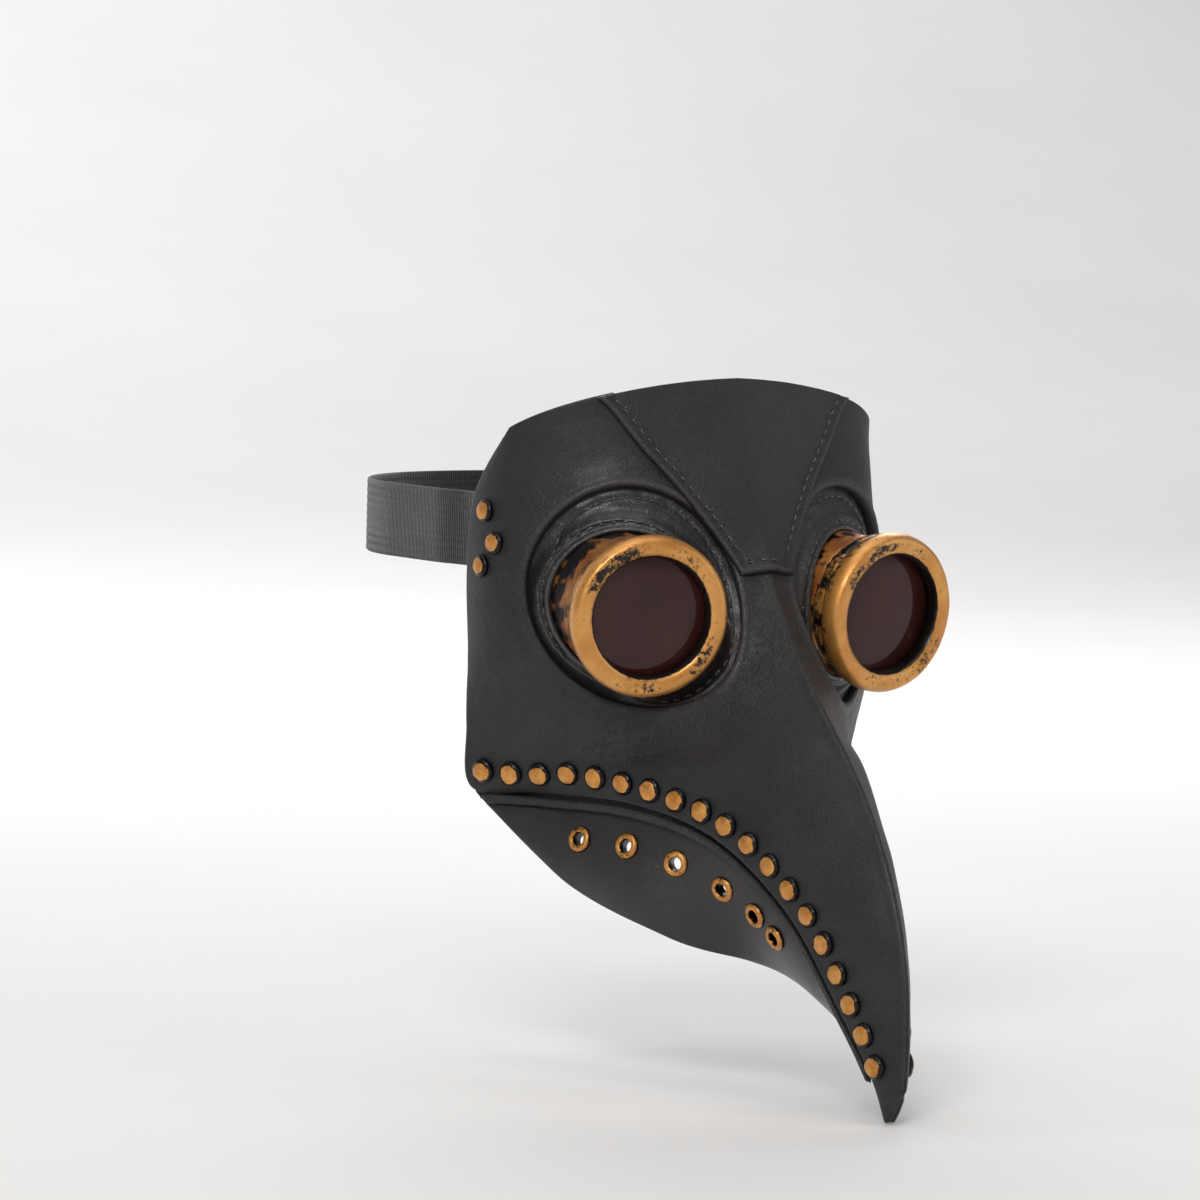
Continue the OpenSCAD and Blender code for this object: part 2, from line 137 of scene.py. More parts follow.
def ribAt(ribs, u):
    u = np.asarray(u, float)
    last = len(ribs) - 1
    i = np.clip(np.floor(u).astype(int), 0, last - 1)
    t = (u - i)[..., None, None]
    a, b, c, d = (ribs[np.clip(i + k, 0, last)] for k in (-1, 0, 1, 2))
    return (2 * b + (c - a) * t + (2 * a - 5 * b + 4 * c - d) * t ** 2 + (3 * b - a - 3 * c + d) * t ** 3) / 2


def bezierAt(p, t):
    t = np.asarray(t, float)[..., None]
    return (p[..., 0, :] * (1 - t) ** 3 + 3 * p[..., 1, :] * t * (1 - t) ** 2
            + 3 * p[..., 2, :] * t ** 2 * (1 - t) + p[..., 3, :] * t ** 3)


def faceAt(u, v):
    p = bezierAt(ribAt(faceRibs, u), v)
    p[..., 0] = np.maximum(p[..., 0], 0)
    return p


def lipInset(u, distance):  # share of a rib that leaves this distance to its edge
    r = ribAt(faceRibs, u)
    return np.maximum(0.3, 1 - distance / (3 * np.linalg.norm(r[..., 3, :] - r[..., 2, :], axis=-1)))


def jawAt(u, t):  # t runs from -1, the tuck behind the lip, over 0 at the lip, to 1 at the keel
    u, t = np.broadcast_arrays(np.asarray(u, float), np.asarray(t, float))
    low = bezierAt(ribAt(jawRibs, u - mask["cornerRib"]), np.maximum(t, 0))
    inset = lipInset(u, mask["lipLap"])
    tuck = faceAt(u, 1 + (inset - 1) * np.clip(-t, 0, 1))
    p = np.where((t < 0)[..., None], tuck, low)
    p[..., 0] = np.maximum(p[..., 0], 0)
    return p


def normalAt(surface, u, v, step=0.02):
    du = surface(u + step, v) - surface(u - step, v)
    dv = surface(u, v + step) - surface(u, v - step)
    n = np.cross(du, dv)
    return n / np.maximum(np.linalg.norm(n, axis=-1, keepdims=True), 1e-12)


def gridNormals(p, wrap=False):  # outward where p runs [along the ribs' order][along a rib]
    du = np.gradient(p, axis=0)
    dv = (np.roll(p, -1, 1) - np.roll(p, 1, 1)) / 2 if wrap else np.gradient(p, axis=1)
    n = np.cross(du, dv)
    flat = np.abs(p[..., 0]) < 0.02 * mm
    n[flat, 0] = 0
    return n / np.maximum(np.linalg.norm(n, axis=-1, keepdims=True), 1e-12)


def seamV(u):
    t = np.asarray(u, float) / mask["seamFootRib"]
    return mask["seamTop"] + (mask["seamFoot"] - mask["seamTop"]) * (t + mask["seamBulge"] * t * (1 - t))


def panelStart(u):
    lead = np.maximum(0, seamV(u) - mask["panelLap"])
    return lead * (1 - ease((u - mask["seamFootRib"] + 1) / 0.7))


def lengths(points):  # running length at each point of a line
    steps = np.linalg.norm(np.diff(points, axis=0), axis=1)
    return np.concatenate([[0], np.cumsum(steps)])


def pointAt(at, run, points):  # the points at these running lengths
    return np.stack([np.interp(at, run, points[:, k]) for k in range(3)], axis=-1)


def noiseAt(points, size, seed=0.0, octaves=2):
    out = np.empty(points.shape[:-1])
    flat = out.reshape(-1)
    for k, p in enumerate(points.reshape(-1, 3)):
        flat[k] = noise.fractal(Vector(p / size) + Vector((seed, seed * 0.7, -seed)), 1.0, 2.0, octaves)
    return out


# sizes of an eyepiece and its place on the face, as in the CAD
eye = {"barrel": 23.5 * mm, "opening": 20 * mm, "bezel": 27 * mm, "front": 22.5 * mm, "gasket": 13.5 * mm,
       "skirt": 25.25 * mm, "ovalWide": 33 * mm, "ovalHigh": 36 * mm, "ovalLift": 3 * mm,
       "ovalShift": -2 * mm, "rib": 2.73, "share": 0.455, "clamp": 4 * mm,
       "flatten": 4 * mm}


def eyeFrame():
    centre = faceAt(np.array(eye["rib"]), np.array(eye["share"]))
    plane = normalAt(faceAt, np.array(eye["rib"]), np.array(eye["share"]))
    axis = next(j["axis"] for j in frame["joints"] if j["name"] == "lens_slide_left")
    axis = np.array(axis, float) / np.linalg.norm(axis)
    axis = axis * np.sign(axis @ plane)
    across = np.array([-axis[1], axis[0], 0]) / math.hypot(axis[0], axis[1])
    across = across * np.sign(across[0])
    return centre, plane, axis, across, np.cross(axis, across)


eyeCentre, eyePlane, eyeAxis, eyeAcross, eyeUp = eyeFrame()
ovalCentre = eyeCentre + np.array([eye["ovalShift"], 0, eye["ovalLift"]])


def ovalDistance(p):  # about how far p lies outside the opening's oval
    q = p - ovalCentre
    x, y = q @ eyeAcross, q @ eyeUp
    reach = np.hypot(x / eye["ovalWide"], y / eye["ovalHigh"])
    return (reach - 1) * np.hypot(x, y) / np.maximum(reach, 1e-6)


def ovalAngle(p):
    q = p - ovalCentre
    return np.arctan2(q @ eyeUp, q @ eyeAcross)


# first and last value and count of a coarse grid, then the turns and the step that refine its nearest point
faceSearch = {"ribs": (0.7, 5.2, 46), "shares": (0.04, 0.86, 60), "turns": 14, "step": 1e-3}


def faceUnder(x, y):  # rib numbers and shares of the face points that lie at x, y in the eyepiece's view
    ribs, shares = (np.linspace(*faceSearch[k]) for k in ("ribs", "shares"))
    us, vs = np.meshgrid(ribs, shares, indexing="ij")
    q = faceAt(us, vs) - eyeCentre
    gx, gy = (q @ eyeAcross).ravel(), (q @ eyeUp).ravel()
    shape = np.shape(x)
    x, y = np.ravel(x), np.ravel(y)
    best = np.argmin((gx[None] - x[:, None]) ** 2 + (gy[None] - y[:, None]) ** 2, axis=1)
    u, v = us.ravel()[best], vs.ravel()[best]
    h = faceSearch["step"]
    for _ in range(faceSearch["turns"]):
        q = faceAt(u, v) - eyeCentre
        ex, ey = q @ eyeAcross - x, q @ eyeUp - y
        du = (faceAt(u + h, v) - faceAt(u - h, v)) / (2 * h)
        dv = (faceAt(u, v + h) - faceAt(u, v - h)) / (2 * h)
        a, b, c, d = du @ eyeAcross, dv @ eyeAcross, du @ eyeUp, dv @ eyeUp
        det = a * d - b * c
        det = np.where(np.abs(det) < 1e-9, 1e-9, det)
        u = np.clip(u - np.clip((d * ex - b * ey) / det, -0.3, 0.3), 0.5, 5.4)
        v = np.clip(v - np.clip((a * ey - c * ex) / det, -0.1, 0.1), 0.03, 0.9)
    return u.reshape(shape), v.reshape(shape)


def finishMesh(name, verts, faces, materials, faceMaterial=None, values=None, recalc=False):
    mesh = bpy.data.meshes.new(name)
    mesh.from_pydata([tuple(v) for v in verts], [], faces)
    for m in materials:
        mesh.materials.append(m)
    if faceMaterial is not None:
        mesh.polygons.foreach_set("material_index", np.array(faceMaterial, np.int32))
    for key, array in (values or {}).items():
        layer = mesh.attributes.new(key, "FLOAT", "POINT")
        layer.data.foreach_set("value", np.asarray(array, np.float32))
    if recalc:
        bm = bmesh.new()
        bm.from_mesh(mesh)
        bmesh.ops.recalc_face_normals(bm, faces=bm.faces)
        bm.to_mesh(mesh)
        bm.free()
    mesh.polygons.foreach_set("use_smooth", np.ones(len(mesh.polygons), bool))
    mesh.update()
    obj = bpy.data.objects.new(name, mesh)
    bpy.context.scene.collection.objects.link(obj)
    return obj


def makeShell(name, outer, inner, materials, keep=None, wrap=False, values=None, flip=False):
    # a closed leather layer between two grids of points, cut away where keep is negative
    m, n = outer.shape[:2]
    keep = np.ones((m, n)) if keep is None else keep
    values = values or {}
    points, backs, extra, index = [], [], {k: [] for k in values}, {}

    def vertex(i, j, i2=None, j2=None):
        key = (i, j) if i2 is None else ((i, j), (i2, j2)) if (i, j) < (i2, j2) else ((i2, j2), (i, j))
        if key not in index:
            index[key] = len(points)
            t = 0 if i2 is None else keep[i, j] / (keep[i, j] - keep[i2, j2])
            a, b = (i, j), (i, j) if i2 is None else (i2, j2)
            points.append(outer[a] * (1 - t) + outer[b] * t)
            backs.append(inner[a] * (1 - t) + inner[b] * t)
            for k in values:
                extra[k].append(values[k][a] * (1 - t) + values[k][b] * t)
        return index[key]

    tops = []
    for i in range(m - 1):
        for j in range(n if wrap else n - 1):
            ring = [(i, j), (i + 1, j), (i + 1, (j + 1) % n), (i, (j + 1) % n)]
            signs = [keep[c] >= 0 for c in ring]
            if not any(signs):
                continue
            poly = []
            for k in range(4):
                a, b = ring[k], ring[(k + 1) % 4]
                if signs[k]:
                    poly.append(vertex(*a))
                if signs[k] != signs[(k + 1) % 4]:
                    poly.append(vertex(*a, *b))
            if len(poly) > 2:
                tops.append(poly)
    count = len(points)
    edges = {}
    for poly in tops:
        for a, b in zip(poly, poly[1:] + poly[:1]):
            edges[(a, b)] = True
    rims = [(a, b) for a, b in edges if (b, a) not in edges]
    faces = tops + [[v + count for v in reversed(p)] for p in tops]
    faces += [[b, a, a + count, b + count] for a, b in rims]
    kinds = [0] * len(tops) + [1] * len(tops) + [0] * len(rims)
    verts = np.array(points + backs)
    if flip:
        verts[:, 0] *= -1
        faces = [list(reversed(f)) for f in faces]
    data = {k: extra[k] + extra[k] for k in values}
    return finishMesh(name, verts, faces, materials, kinds, data)


def sweep(name, centres, aside, out, sections, materials, closed=False, values=None, flip=False):
    # a tube with its own cross-section at each centre, whose columns go along aside and out
    n = len(centres)
    sections = np.broadcast_to(sections, (n,) + np.shape(sections)[-2:])
    k = sections.shape[1]
    verts = centres[:, None] + aside[:, None] * sections[..., :1] + out[:, None] * sections[..., 1:]
    verts = verts.reshape(-1, 3)
    faces = []
    for i in range(n if closed else n - 1):
        for j in range(k):
            a, b = i * k, ((i + 1) % n) * k
            faces.append([a + j, a + (j + 1) % k, b + (j + 1) % k, b + j])
    if not closed:
        faces += [list(range(k)), [(n - 1) * k + j for j in reversed(range(k))]]
    if flip:
        verts = verts * np.array([-1, 1, 1])
    return finishMesh(name, verts, faces, materials, None, values, recalc=True)


def mirrored(side, p):
    return p * np.array([-1 if side == "Right" else 1, 1, 1])


def roundDrop(d, radius):  # how far a rounded edge has fallen at distance d from the edge
    r = np.maximum(radius - np.minimum(d, radius), 0)
    return radius - np.sqrt(np.maximum(radius ** 2 - r ** 2, 0))


def edgeRows(length, count, rows=(0, 0.08, 0.25, 0.5, 0.85, 1.3, 2.0)):
    # shares from 0 to 1 with close rows at both ends, for a run of this length
    near = np.array(rows) * mm / length
    near = near * min(1, 0.3 / near[-1])
    return np.concatenate([near[:-1], np.linspace(near[-1], 1 - near[-1], count), 1 - near[:-1][::-1]])


def ride(obj, body, slot, *replaced):
    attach(obj, body)
    if replaced:
        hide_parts(*replaced)
    return obj


def feed(tree, node, feeds):  # link each socket to its source, or set its value
    for socket, source in feeds.items():
        if isinstance(source, bpy.types.NodeSocket):
            tree.links.new(source, node.inputs[socket])
        else:
            node.inputs[socket].default_value = source
    return node


def put(tree, kind, feeds=None, **settings):
    node = tree.nodes.new("ShaderNode" + kind)
    for key, value in settings.items():
        setattr(node, key, value)
    return feed(tree, node, feeds or {})


def newGroup(name, inputs, outputs):
    tree = bpy.data.node_groups.new(name, "ShaderNodeTree")
    for label, kind, value in inputs:
        socket = tree.interface.new_socket(name=label, in_out="INPUT", socket_type="NodeSocket" + kind)
        if value is not None:
            socket.default_value = value
    for label, kind in outputs:
        tree.interface.new_socket(name=label, in_out="OUTPUT", socket_type="NodeSocket" + kind)
    return tree, tree.nodes.new("NodeGroupInput").outputs, tree.nodes.new("NodeGroupOutput")


def mapRange(tree, value, low, high, toLow=0.0, toHigh=1.0):
    return put(tree, "MapRange", {0: value, 1: low, 2: high, 3: toLow, 4: toHigh}).outputs[0]


def calc(tree, operation, a, b=0.0, clamp=False):
    return put(tree, "Math", {0: a, 1: b}, operation=operation, use_clamp=clamp).outputs[0]


def mixColor(tree, factor, a, b):
    a, b = (c if isinstance(c, bpy.types.NodeSocket) else (*c, 1) for c in (a, b))
    node = put(tree, "Mix", {"Factor": factor}, data_type="RGBA")
    return feed(tree, node, {6: a, 7: b}).outputs[2]


def leatherGrainGroup():
    # pebbled hide with fine creases that open where the leather bends
    tree, i, o = newGroup("leatherGrain", [("Position", "Vector", None),
                                           ("Pebbles per metre", "Float", 900.0),
                                           ("Crease", "Float", 0.0)],
                          [("Height", "Float"), ("Valleys", "Float")])
    bend = put(tree, "TexNoise", {"Vector": i["Position"], "Scale": 140.0, "Detail": 3.0})
    warped = put(tree, "VectorMath", {0: bend.outputs["Color"], "Scale": 0.0022}, operation="SCALE")
    place = put(tree, "VectorMath", {0: i["Position"], 1: warped.outputs[0]}, operation="ADD").outputs[0]
    cells = put(tree, "TexVoronoi", {"Vector": place, "Scale": i["Pebbles per metre"]},
                feature="DISTANCE_TO_EDGE").outputs[0]
    pebble = mapRange(tree, cells, 0.0, 0.16)
    fine = put(tree, "TexNoise", {"Vector": i["Position"], "Scale": 2600.0, "Detail": 2.0}).outputs[0]
    folds = put(tree, "TexVoronoi", {"Vector": place, "Scale": 210.0}, feature="DISTANCE_TO_EDGE").outputs[0]
    fold = mapRange(tree, folds, 0.0, 0.09)
    folded = calc(tree, "MULTIPLY", calc(tree, "SUBTRACT", fold, 1.0), i["Crease"])
    grain = calc(tree, "ADD", calc(tree, "MULTIPLY", pebble, 0.55), calc(tree, "MULTIPLY", fine, 0.35))
    tree.links.new(calc(tree, "ADD", grain, calc(tree, "MULTIPLY", folded, 1.6)), o.inputs["Height"])
    tree.links.new(calc(tree, "SUBTRACT", 1.0, pebble), o.inputs["Valleys"])
    return tree


def cloudToneGroup():
    # slow unevenness of a dyed or gilt surface
    tree, i, o = newGroup("cloudTone", [("Position", "Vector", None), ("Patches per metre", "Float", 45.0),
                                        ("Low", "Color", (0, 0, 0, 1)), ("High", "Color", (1, 1, 1, 1))],
                          [("Color", "Color"), ("Value", "Float")])
    cloud = put(tree, "TexNoise", {"Vector": i["Position"], "Scale": i["Patches per metre"], "Detail": 5.0,
                                   "Roughness": 0.6}).outputs[0]
    value = mapRange(tree, cloud, 0.32, 0.68)
    tree.links.new(mixColor(tree, value, i["Low"], i["High"]), o.inputs["Color"])
    tree.links.new(value, o.inputs["Value"])
    return tree


def edgeWearAndSheenGroup():
    # rubbed edges and painted highlights on ridges: the painted wear value, which also carries the
    # highlights, broken up by noise
    tree, i, o = newGroup("edgeWearAndSheen", [("Position", "Vector", None), ("WearAndSheen", "Float", 0.0),
                                       ("Amount", "Float", 1.0)], [("Mask", "Float")])
    speck = put(tree, "TexNoise", {"Vector": i["Position"], "Scale": 420.0, "Detail": 6.0,
                                   "Roughness": 0.7}).outputs[0]
    ragged = calc(tree, "ADD", i["WearAndSheen"], calc(tree, "MULTIPLY", calc(tree, "SUBTRACT", speck, 0.5), 1.1))
    rubbedAndSheen = calc(tree, "MULTIPLY", mapRange(tree, ragged, 0.35, 1.0), i["Amount"], True)
    tree.links.new(rubbedAndSheen, o.inputs["Mask"])
    return tree


def patinaAndShadeGroup():
    # dark antiquing and painted shade: specks all over, solid where the grime value is high; that value also
    # paints shade into bores, eyelet holes and the barrel's foot
    tree, i, o = newGroup("patinaAndShade", [("Position", "Vector", None), ("GrimeAndShade", "Float", 0.0),
                                     ("Specks per metre", "Float", 500.0), ("Cover", "Float", 0.3)],
                          [("Mask", "Float"), ("Height", "Float")])
    speck = put(tree, "TexNoise", {"Vector": i["Position"], "Scale": i["Specks per metre"], "Detail": 8.0,
                                   "Roughness": 0.72}).outputs[0]
    patch = put(tree, "TexNoise", {"Vector": i["Position"], "Scale": 90.0, "Detail": 3.0}).outputs[0]
    amount = calc(tree, "ADD", calc(tree, "MULTIPLY", i["GrimeAndShade"], 0.62),
                  calc(tree, "MULTIPLY", calc(tree, "SUBTRACT", patch, 0.45), i["Cover"]))
    reach = calc(tree, "ADD", speck, amount)
    tree.links.new(mapRange(tree, reach, 0.66, 0.78), o.inputs["Mask"])
    tree.links.new(mapRange(tree, speck, 0.3, 0.7), o.inputs["Height"])
    return tree


groups = {"grain": leatherGrainGroup(), "cloud": cloudToneGroup(), "wearAndSheen": edgeWearAndSheenGroup(),
          "patinaAndShade": patinaAndShadeGroup()}


def useGroup(tree, key, feeds):
    node = tree.nodes.new("ShaderNodeGroup")
    node.node_tree = groups[key]
    return feed(tree, node, feeds).outputs


def cloudTone(tree, place, s):
    return useGroup(tree, "cloud", {"Position": place, "Patches per metre": s["patches"],
                                    "Low": (*s["low"], 1), "High": (*s["high"], 1)})


def newMaterial(name, settings):
    material = bpy.data.materials.new(name)
    material.use_nodes = True
    tree = material.node_tree
    shader = tree.nodes["Principled BSDF"]
    for socket, value in settings.items():
        shader.inputs[socket].default_value = value
    place = put(tree, "TexCoord").outputs["Object"]
    return material, tree, shader, place


def attributeOf(tree, name):
    return put(tree, "Attribute", attribute_name=name).outputs["Fac"]


def addBump(tree, shader, height, distance, strength=1.0):
    node = put(tree, "Bump", {"Height": height, "Distance": distance, "Strength": strength})
    tree.links.new(node.outputs[0], shader.inputs["Normal"])


def hideMaterial(name, s):
    material, tree, shader, place = newMaterial(name, {"Specular IOR Level": s["specular"],
                                                       "Coat Weight": s["coat"], "Coat Roughness": 0.3})
    tone = cloudTone(tree, place, s)
    grain = useGroup(tree, "grain", {"Position": place, "Pebbles per metre": s["pebbles"],
                                     "Crease": attributeOf(tree, "crease")})
    wornAndSheen = useGroup(tree, "wearAndSheen", {"Position": place, "WearAndSheen": attributeOf(tree, "wearAndSheen"), "Amount": s["wornAndSheen"]})
    # lighter rubbed colour where the wear value is high: real edge wear, and a painted highlight on the brow
    # roll, crest, seam ridge, socket bead and wrinkle crests
    color = mixColor(tree, wornAndSheen["Mask"], tone["Color"], s["rubbedAndSheen"])
    tree.links.new(color, shader.inputs["Base Color"])
    rough = mapRange(tree, tone["Value"], 0.0, 1.0, s["rough"] + 0.05, s["rough"] - 0.04)
    rough = calc(tree, "ADD", rough, calc(tree, "MULTIPLY", grain["Valleys"], 0.16))
    rough = calc(tree, "SUBTRACT", rough, calc(tree, "MULTIPLY", wornAndSheen["Mask"], 0.15), True)
    tree.links.new(rough, shader.inputs["Roughness"])
    addBump(tree, shader, grain["Height"], s["bump"] * mm)
    return material


def metalMaterial(name, s):
    material, tree, shader, place = newMaterial(name, {"Metallic": s["metal"], "Coat Weight": s["coat"],
                                                       "Coat Roughness": 0.2, "Specular IOR Level": 0.5})
    tone = cloudTone(tree, place, s)
    dirtAndShade = useGroup(tree, "patinaAndShade", {"Position": place, "GrimeAndShade": attributeOf(tree, "grimeAndShade"),
                                     "Specks per metre": s["specks"], "Cover": s["cover"]})
    # the dark colour marks real patina and specks, and also painted shade inside bores, eyelet holes and at
    # the barrel's foot
    tree.links.new(mixColor(tree, dirtAndShade["Mask"], tone["Color"], s["dirtAndShade"]), shader.inputs["Base Color"])
    rough = mapRange(tree, dirtAndShade["Mask"], 0.0, 1.0, s["rough"], s["dirtAndShadeRough"])
    tree.links.new(rough, shader.inputs["Roughness"])
    height = calc(tree, "SUBTRACT", dirtAndShade["Height"], calc(tree, "MULTIPLY", dirtAndShade["Mask"], 0.6))
    addBump(tree, shader, height, s["bump"] * mm)
    return material


hideSettings = {
    "outerHide": {"low": (0.0115, 0.0105, 0.0115), "high": (0.019, 0.0175, 0.019),
                  "rubbedAndSheen": (0.060, 0.056, 0.060),
                  "patches": 38.0, "specular": 0.42, "coat": 0.10, "rough": 0.44, "pebbles": 1150.0,
                  "wornAndSheen": 0.6, "bump": 0.16},
    "socketHide": {"low": (0.010, 0.009, 0.010), "high": (0.017, 0.016, 0.017), "rubbedAndSheen": (0.07, 0.066, 0.07),
                   "patches": 38.0, "specular": 0.5, "coat": 0.3, "rough": 0.34, "pebbles": 1300.0,
                   "wornAndSheen": 0.7, "bump": 0.13},
    # the jaw's warmer, reddish tint is a painted reflection of the wearer's skin
    "jawHidePaintedReflection": {"low": (0.0105, 0.009, 0.0095), "high": (0.018, 0.0145, 0.0145),
                "rubbedAndSheen": (0.05, 0.045, 0.046),
                "patches": 38.0, "specular": 0.5, "coat": 0.3, "rough": 0.33, "pebbles": 1500.0, "wornAndSheen": 0.5,
                "bump": 0.08},
    "fleshSide": {"low": (0.020, 0.016, 0.014), "high": (0.040, 0.033, 0.029), "rubbedAndSheen": (0.06, 0.05, 0.045),
                  "patches": 38.0, "specular": 0.25, "coat": 0.0, "rough": 0.86, "pebbles": 2400.0,
                  "wornAndSheen": 0.3, "bump": 0.22}}
metalSettings = {
    "giltStuds": {"low": (0.50, 0.185, 0.030), "high": (0.74, 0.36, 0.085), "dirtAndShade": (0.006, 0.005, 0.005),
                  "metal": 0.75, "coat": 0.3, "rough": 0.34, "dirtAndShadeRough": 0.22, "patches": 260.0,
                  "specks": 900.0, "cover": 0.25, "bump": 0.10},
    "giltBezel": {"low": (0.56, 0.235, 0.045), "high": (0.74, 0.365, 0.095), "dirtAndShade": (0.010, 0.007, 0.006),
                  "metal": 0.62, "coat": 0.35, "rough": 0.36, "dirtAndShadeRough": 0.4, "patches": 90.0,
                  "specks": 620.0, "cover": 0.34, "bump": 0.07},
    "copperBarrel": {"low": (0.26, 0.060, 0.012), "high": (0.66, 0.27, 0.065), "dirtAndShade": (0.009, 0.007, 0.007),
                     "metal": 0.6, "coat": 0.45, "rough": 0.34, "dirtAndShadeRough": 0.3, "patches": 130.0,
                     "specks": 240.0, "cover": 0.34, "bump": 0.22},
    "plainBrass": {"low": (0.36, 0.21, 0.06), "high": (0.58, 0.37, 0.12), "dirtAndShade": (0.04, 0.03, 0.02),
                   "metal": 0.95, "coat": 0.0, "rough": 0.36, "dirtAndShadeRough": 0.6, "patches": 200.0,
                   "specks": 700.0, "cover": 0.3, "bump": 0.05}}
finish = {name: hideMaterial(name, s) for name, s in hideSettings.items()}
finish.update({name: metalMaterial(name, s) for name, s in metalSettings.items()})

elasticWeave = {"low": (0.010, 0.010, 0.011), "high": (0.019, 0.018, 0.019), "rubbedAndSheen": (0.04, 0.038, 0.04),
                "patches": 60.0, "weft": 320.0, "warp": 130.0, "fuzz": 1800.0, "bump": 0.28}


def elasticMaterial(s):
    sockets = {"Sheen Weight": 0.35, "Sheen Roughness": 0.4, "Specular IOR Level": 0.3}
    material, tree, shader, place = newMaterial("ribbedElastic", sockets)
    along, across = attributeOf(tree, "along"), attributeOf(tree, "across")
    yarn = put(tree, "CombineXYZ", {0: along, 1: across, 2: 0.0}).outputs[0]
    weft = put(tree, "TexWave", {"Vector": yarn, "Scale": s["weft"], "Distortion": 0.6, "Detail": 1.0},
               bands_direction="X").outputs[1]
    warp = put(tree, "TexWave", {"Vector": yarn, "Scale": s["warp"], "Distortion": 0.3},
               bands_direction="Y").outputs[1]
    fuzz = put(tree, "TexNoise", {"Vector": place, "Scale": s["fuzz"], "Detail": 3.0}).outputs[0]
    weave = calc(tree, "ADD", calc(tree, "MULTIPLY", weft, 0.5),
                 calc(tree, "ADD", calc(tree, "MULTIPLY", warp, 0.6), calc(tree, "MULTIPLY", fuzz, 0.4)))
    # the raised yarn is painted lighter: a painted sheen on the ribs
    raised = mapRange(tree, weave, 0.5, 1.4, 0.0, 0.5)
    color = mixColor(tree, raised, cloudTone(tree, place, s)["Color"], s["rubbedAndSheen"])
    tree.links.new(color, shader.inputs["Base Color"])
    tree.links.new(mapRange(tree, fuzz, 0.3, 0.7, 0.62, 0.8), shader.inputs["Roughness"])
    addBump(tree, shader, weave, s["bump"] * mm)
    return material


def toneMaterial(name, s, sockets):
    # cloudy colour; the roughness runs from the first to the second of a pair over the tone
    material, tree, shader, place = newMaterial(name, sockets)
    tone = cloudTone(tree, place, s)
    tree.links.new(tone["Color"], shader.inputs["Base Color"])
    if "rough" in s:
        tree.links.new(mapRange(tree, tone["Value"], 0.0, 1.0, *s["rough"]), shader.inputs["Roughness"])
    return material, tree, shader, place, tone


waxedThread = {"low": (0.014, 0.013, 0.014), "high": (0.050, 0.047, 0.050), "patches": 300.0,
               "rough": (0.36, 0.18), "twist": 900.0, "bump": 0.08}


def threadMaterial(s):
    sockets = {"Coat Weight": 0.9, "Coat Roughness": 0.08}
    material, tree, shader, place, _ = toneMaterial("waxedThread", s, sockets)
    ply = put(tree, "TexWave", {"Vector": place, "Scale": s["twist"], "Distortion": 2.0},
              bands_direction="DIAGONAL")
    addBump(tree, shader, ply.outputs[1], s["bump"] * mm)
    return material


# the strong red of the smoke tint is painted in for the wearer's skin seen through the lens
smokedGlassPaintedSkinTint = {"low": (0.034, 0.0080, 0.0070), "high": (0.062, 0.015, 0.012), "patches": 30.0, "smear": 160.0,
               "bump": 0.012}


def lensMaterial(s):
    sockets = {"Metallic": 0.0, "Transmission Weight": 0.3, "IOR": 1.45, "Coat Weight": 0.12,
               "Coat Roughness": 0.03, "Specular IOR Level": 0.28}
    material, tree, shader, place, _ = toneMaterial("smokedGlassPaintedSkinTint", s, sockets)
    smear = put(tree, "TexNoise", {"Vector": place, "Scale": s["smear"], "Detail": 6.0,
                                   "Roughness": 0.7}).outputs[0]
    tree.links.new(mapRange(tree, smear, 0.35, 0.7, 0.05, 0.14), shader.inputs["Roughness"])
    addBump(tree, shader, smear, s["bump"] * mm)
    return material


gasketRubber = {"low": (0.008, 0.008, 0.008), "high": (0.02, 0.02, 0.02), "patches": 200.0,
                "rough": (0.6, 0.75),
                "bump": 0.05}


def rubberMaterial(s):
    material, tree, shader, _, tone = toneMaterial("gasketRubber", s, {"Specular IOR Level": 0.4})
    addBump(tree, shader, tone["Value"], s["bump"] * mm)
    return material


paleFloor = {"low": (0.80, 0.79, 0.78), "high": (0.84, 0.83, 0.82), "patches": 2.0}


def floorMaterial(s):
    return toneMaterial("paleFloor", s, {"Roughness": 0.9, "Specular IOR Level": 0.2})[0]


finish.update(elastic=elasticMaterial(elasticWeave), thread=threadMaterial(waxedThread),
              lens=lensMaterial(smokedGlassPaintedSkinTint), gasket=rubberMaterial(gasketRubber),
              floor=floorMaterial(paleFloor))
print("materials ready:", len(finish))


def wrinkles(p, spot, side):
    # soft ridges around a spot: their height, and how near each point is to it
    centre, reach = np.array(spot["centre"]) * mm, np.array(spot["reach"]) * mm
    near = np.exp(-np.sum(((p - centre) / reach) ** 2, axis=-1))
    out = np.zeros(p.shape[:-1])
    where = near > 0.03
    if where.any():
        n = noiseAt(p[where], spot["size"] * mm, spot["seed"][side], 2)
        out[where] = (0.5 - np.minimum(np.abs(n) * 2.2, 1)) * near[where]
    return out * spot["depth"] * mm, near


def slowWave(p, side, depth):
    return noiseAt(mirrored(side, p), 26 * mm, 3.1 if side == "Right" else 8.4, 2) * depth * mm


# the V-shaped forehead panel; edges and relief in mm
foreheadSettings = {"rise": 2.4 * mm, "gap": 0.4 * mm, "topRib": 0.05, "rows": 96, "columns": 120,
                    "edge": 0.7, "ridge": 0.55, "groove": 0.28, "stitchInset": 4.2, "wave": 0.35,
                    "rowsNearEdge": (0, 0.08, 0.25, 0.5, 0.85, 1.3, 2.0, 2.8, 3.4, 3.8, 4.2, 4.6, 5.0)}


def foreheadSurface(u, s):
    p = faceAt(u, np.abs(s) * seamV(u))
    p[..., 0] = p[..., 0] * np.where(s < 0, -1, 1)
    return p


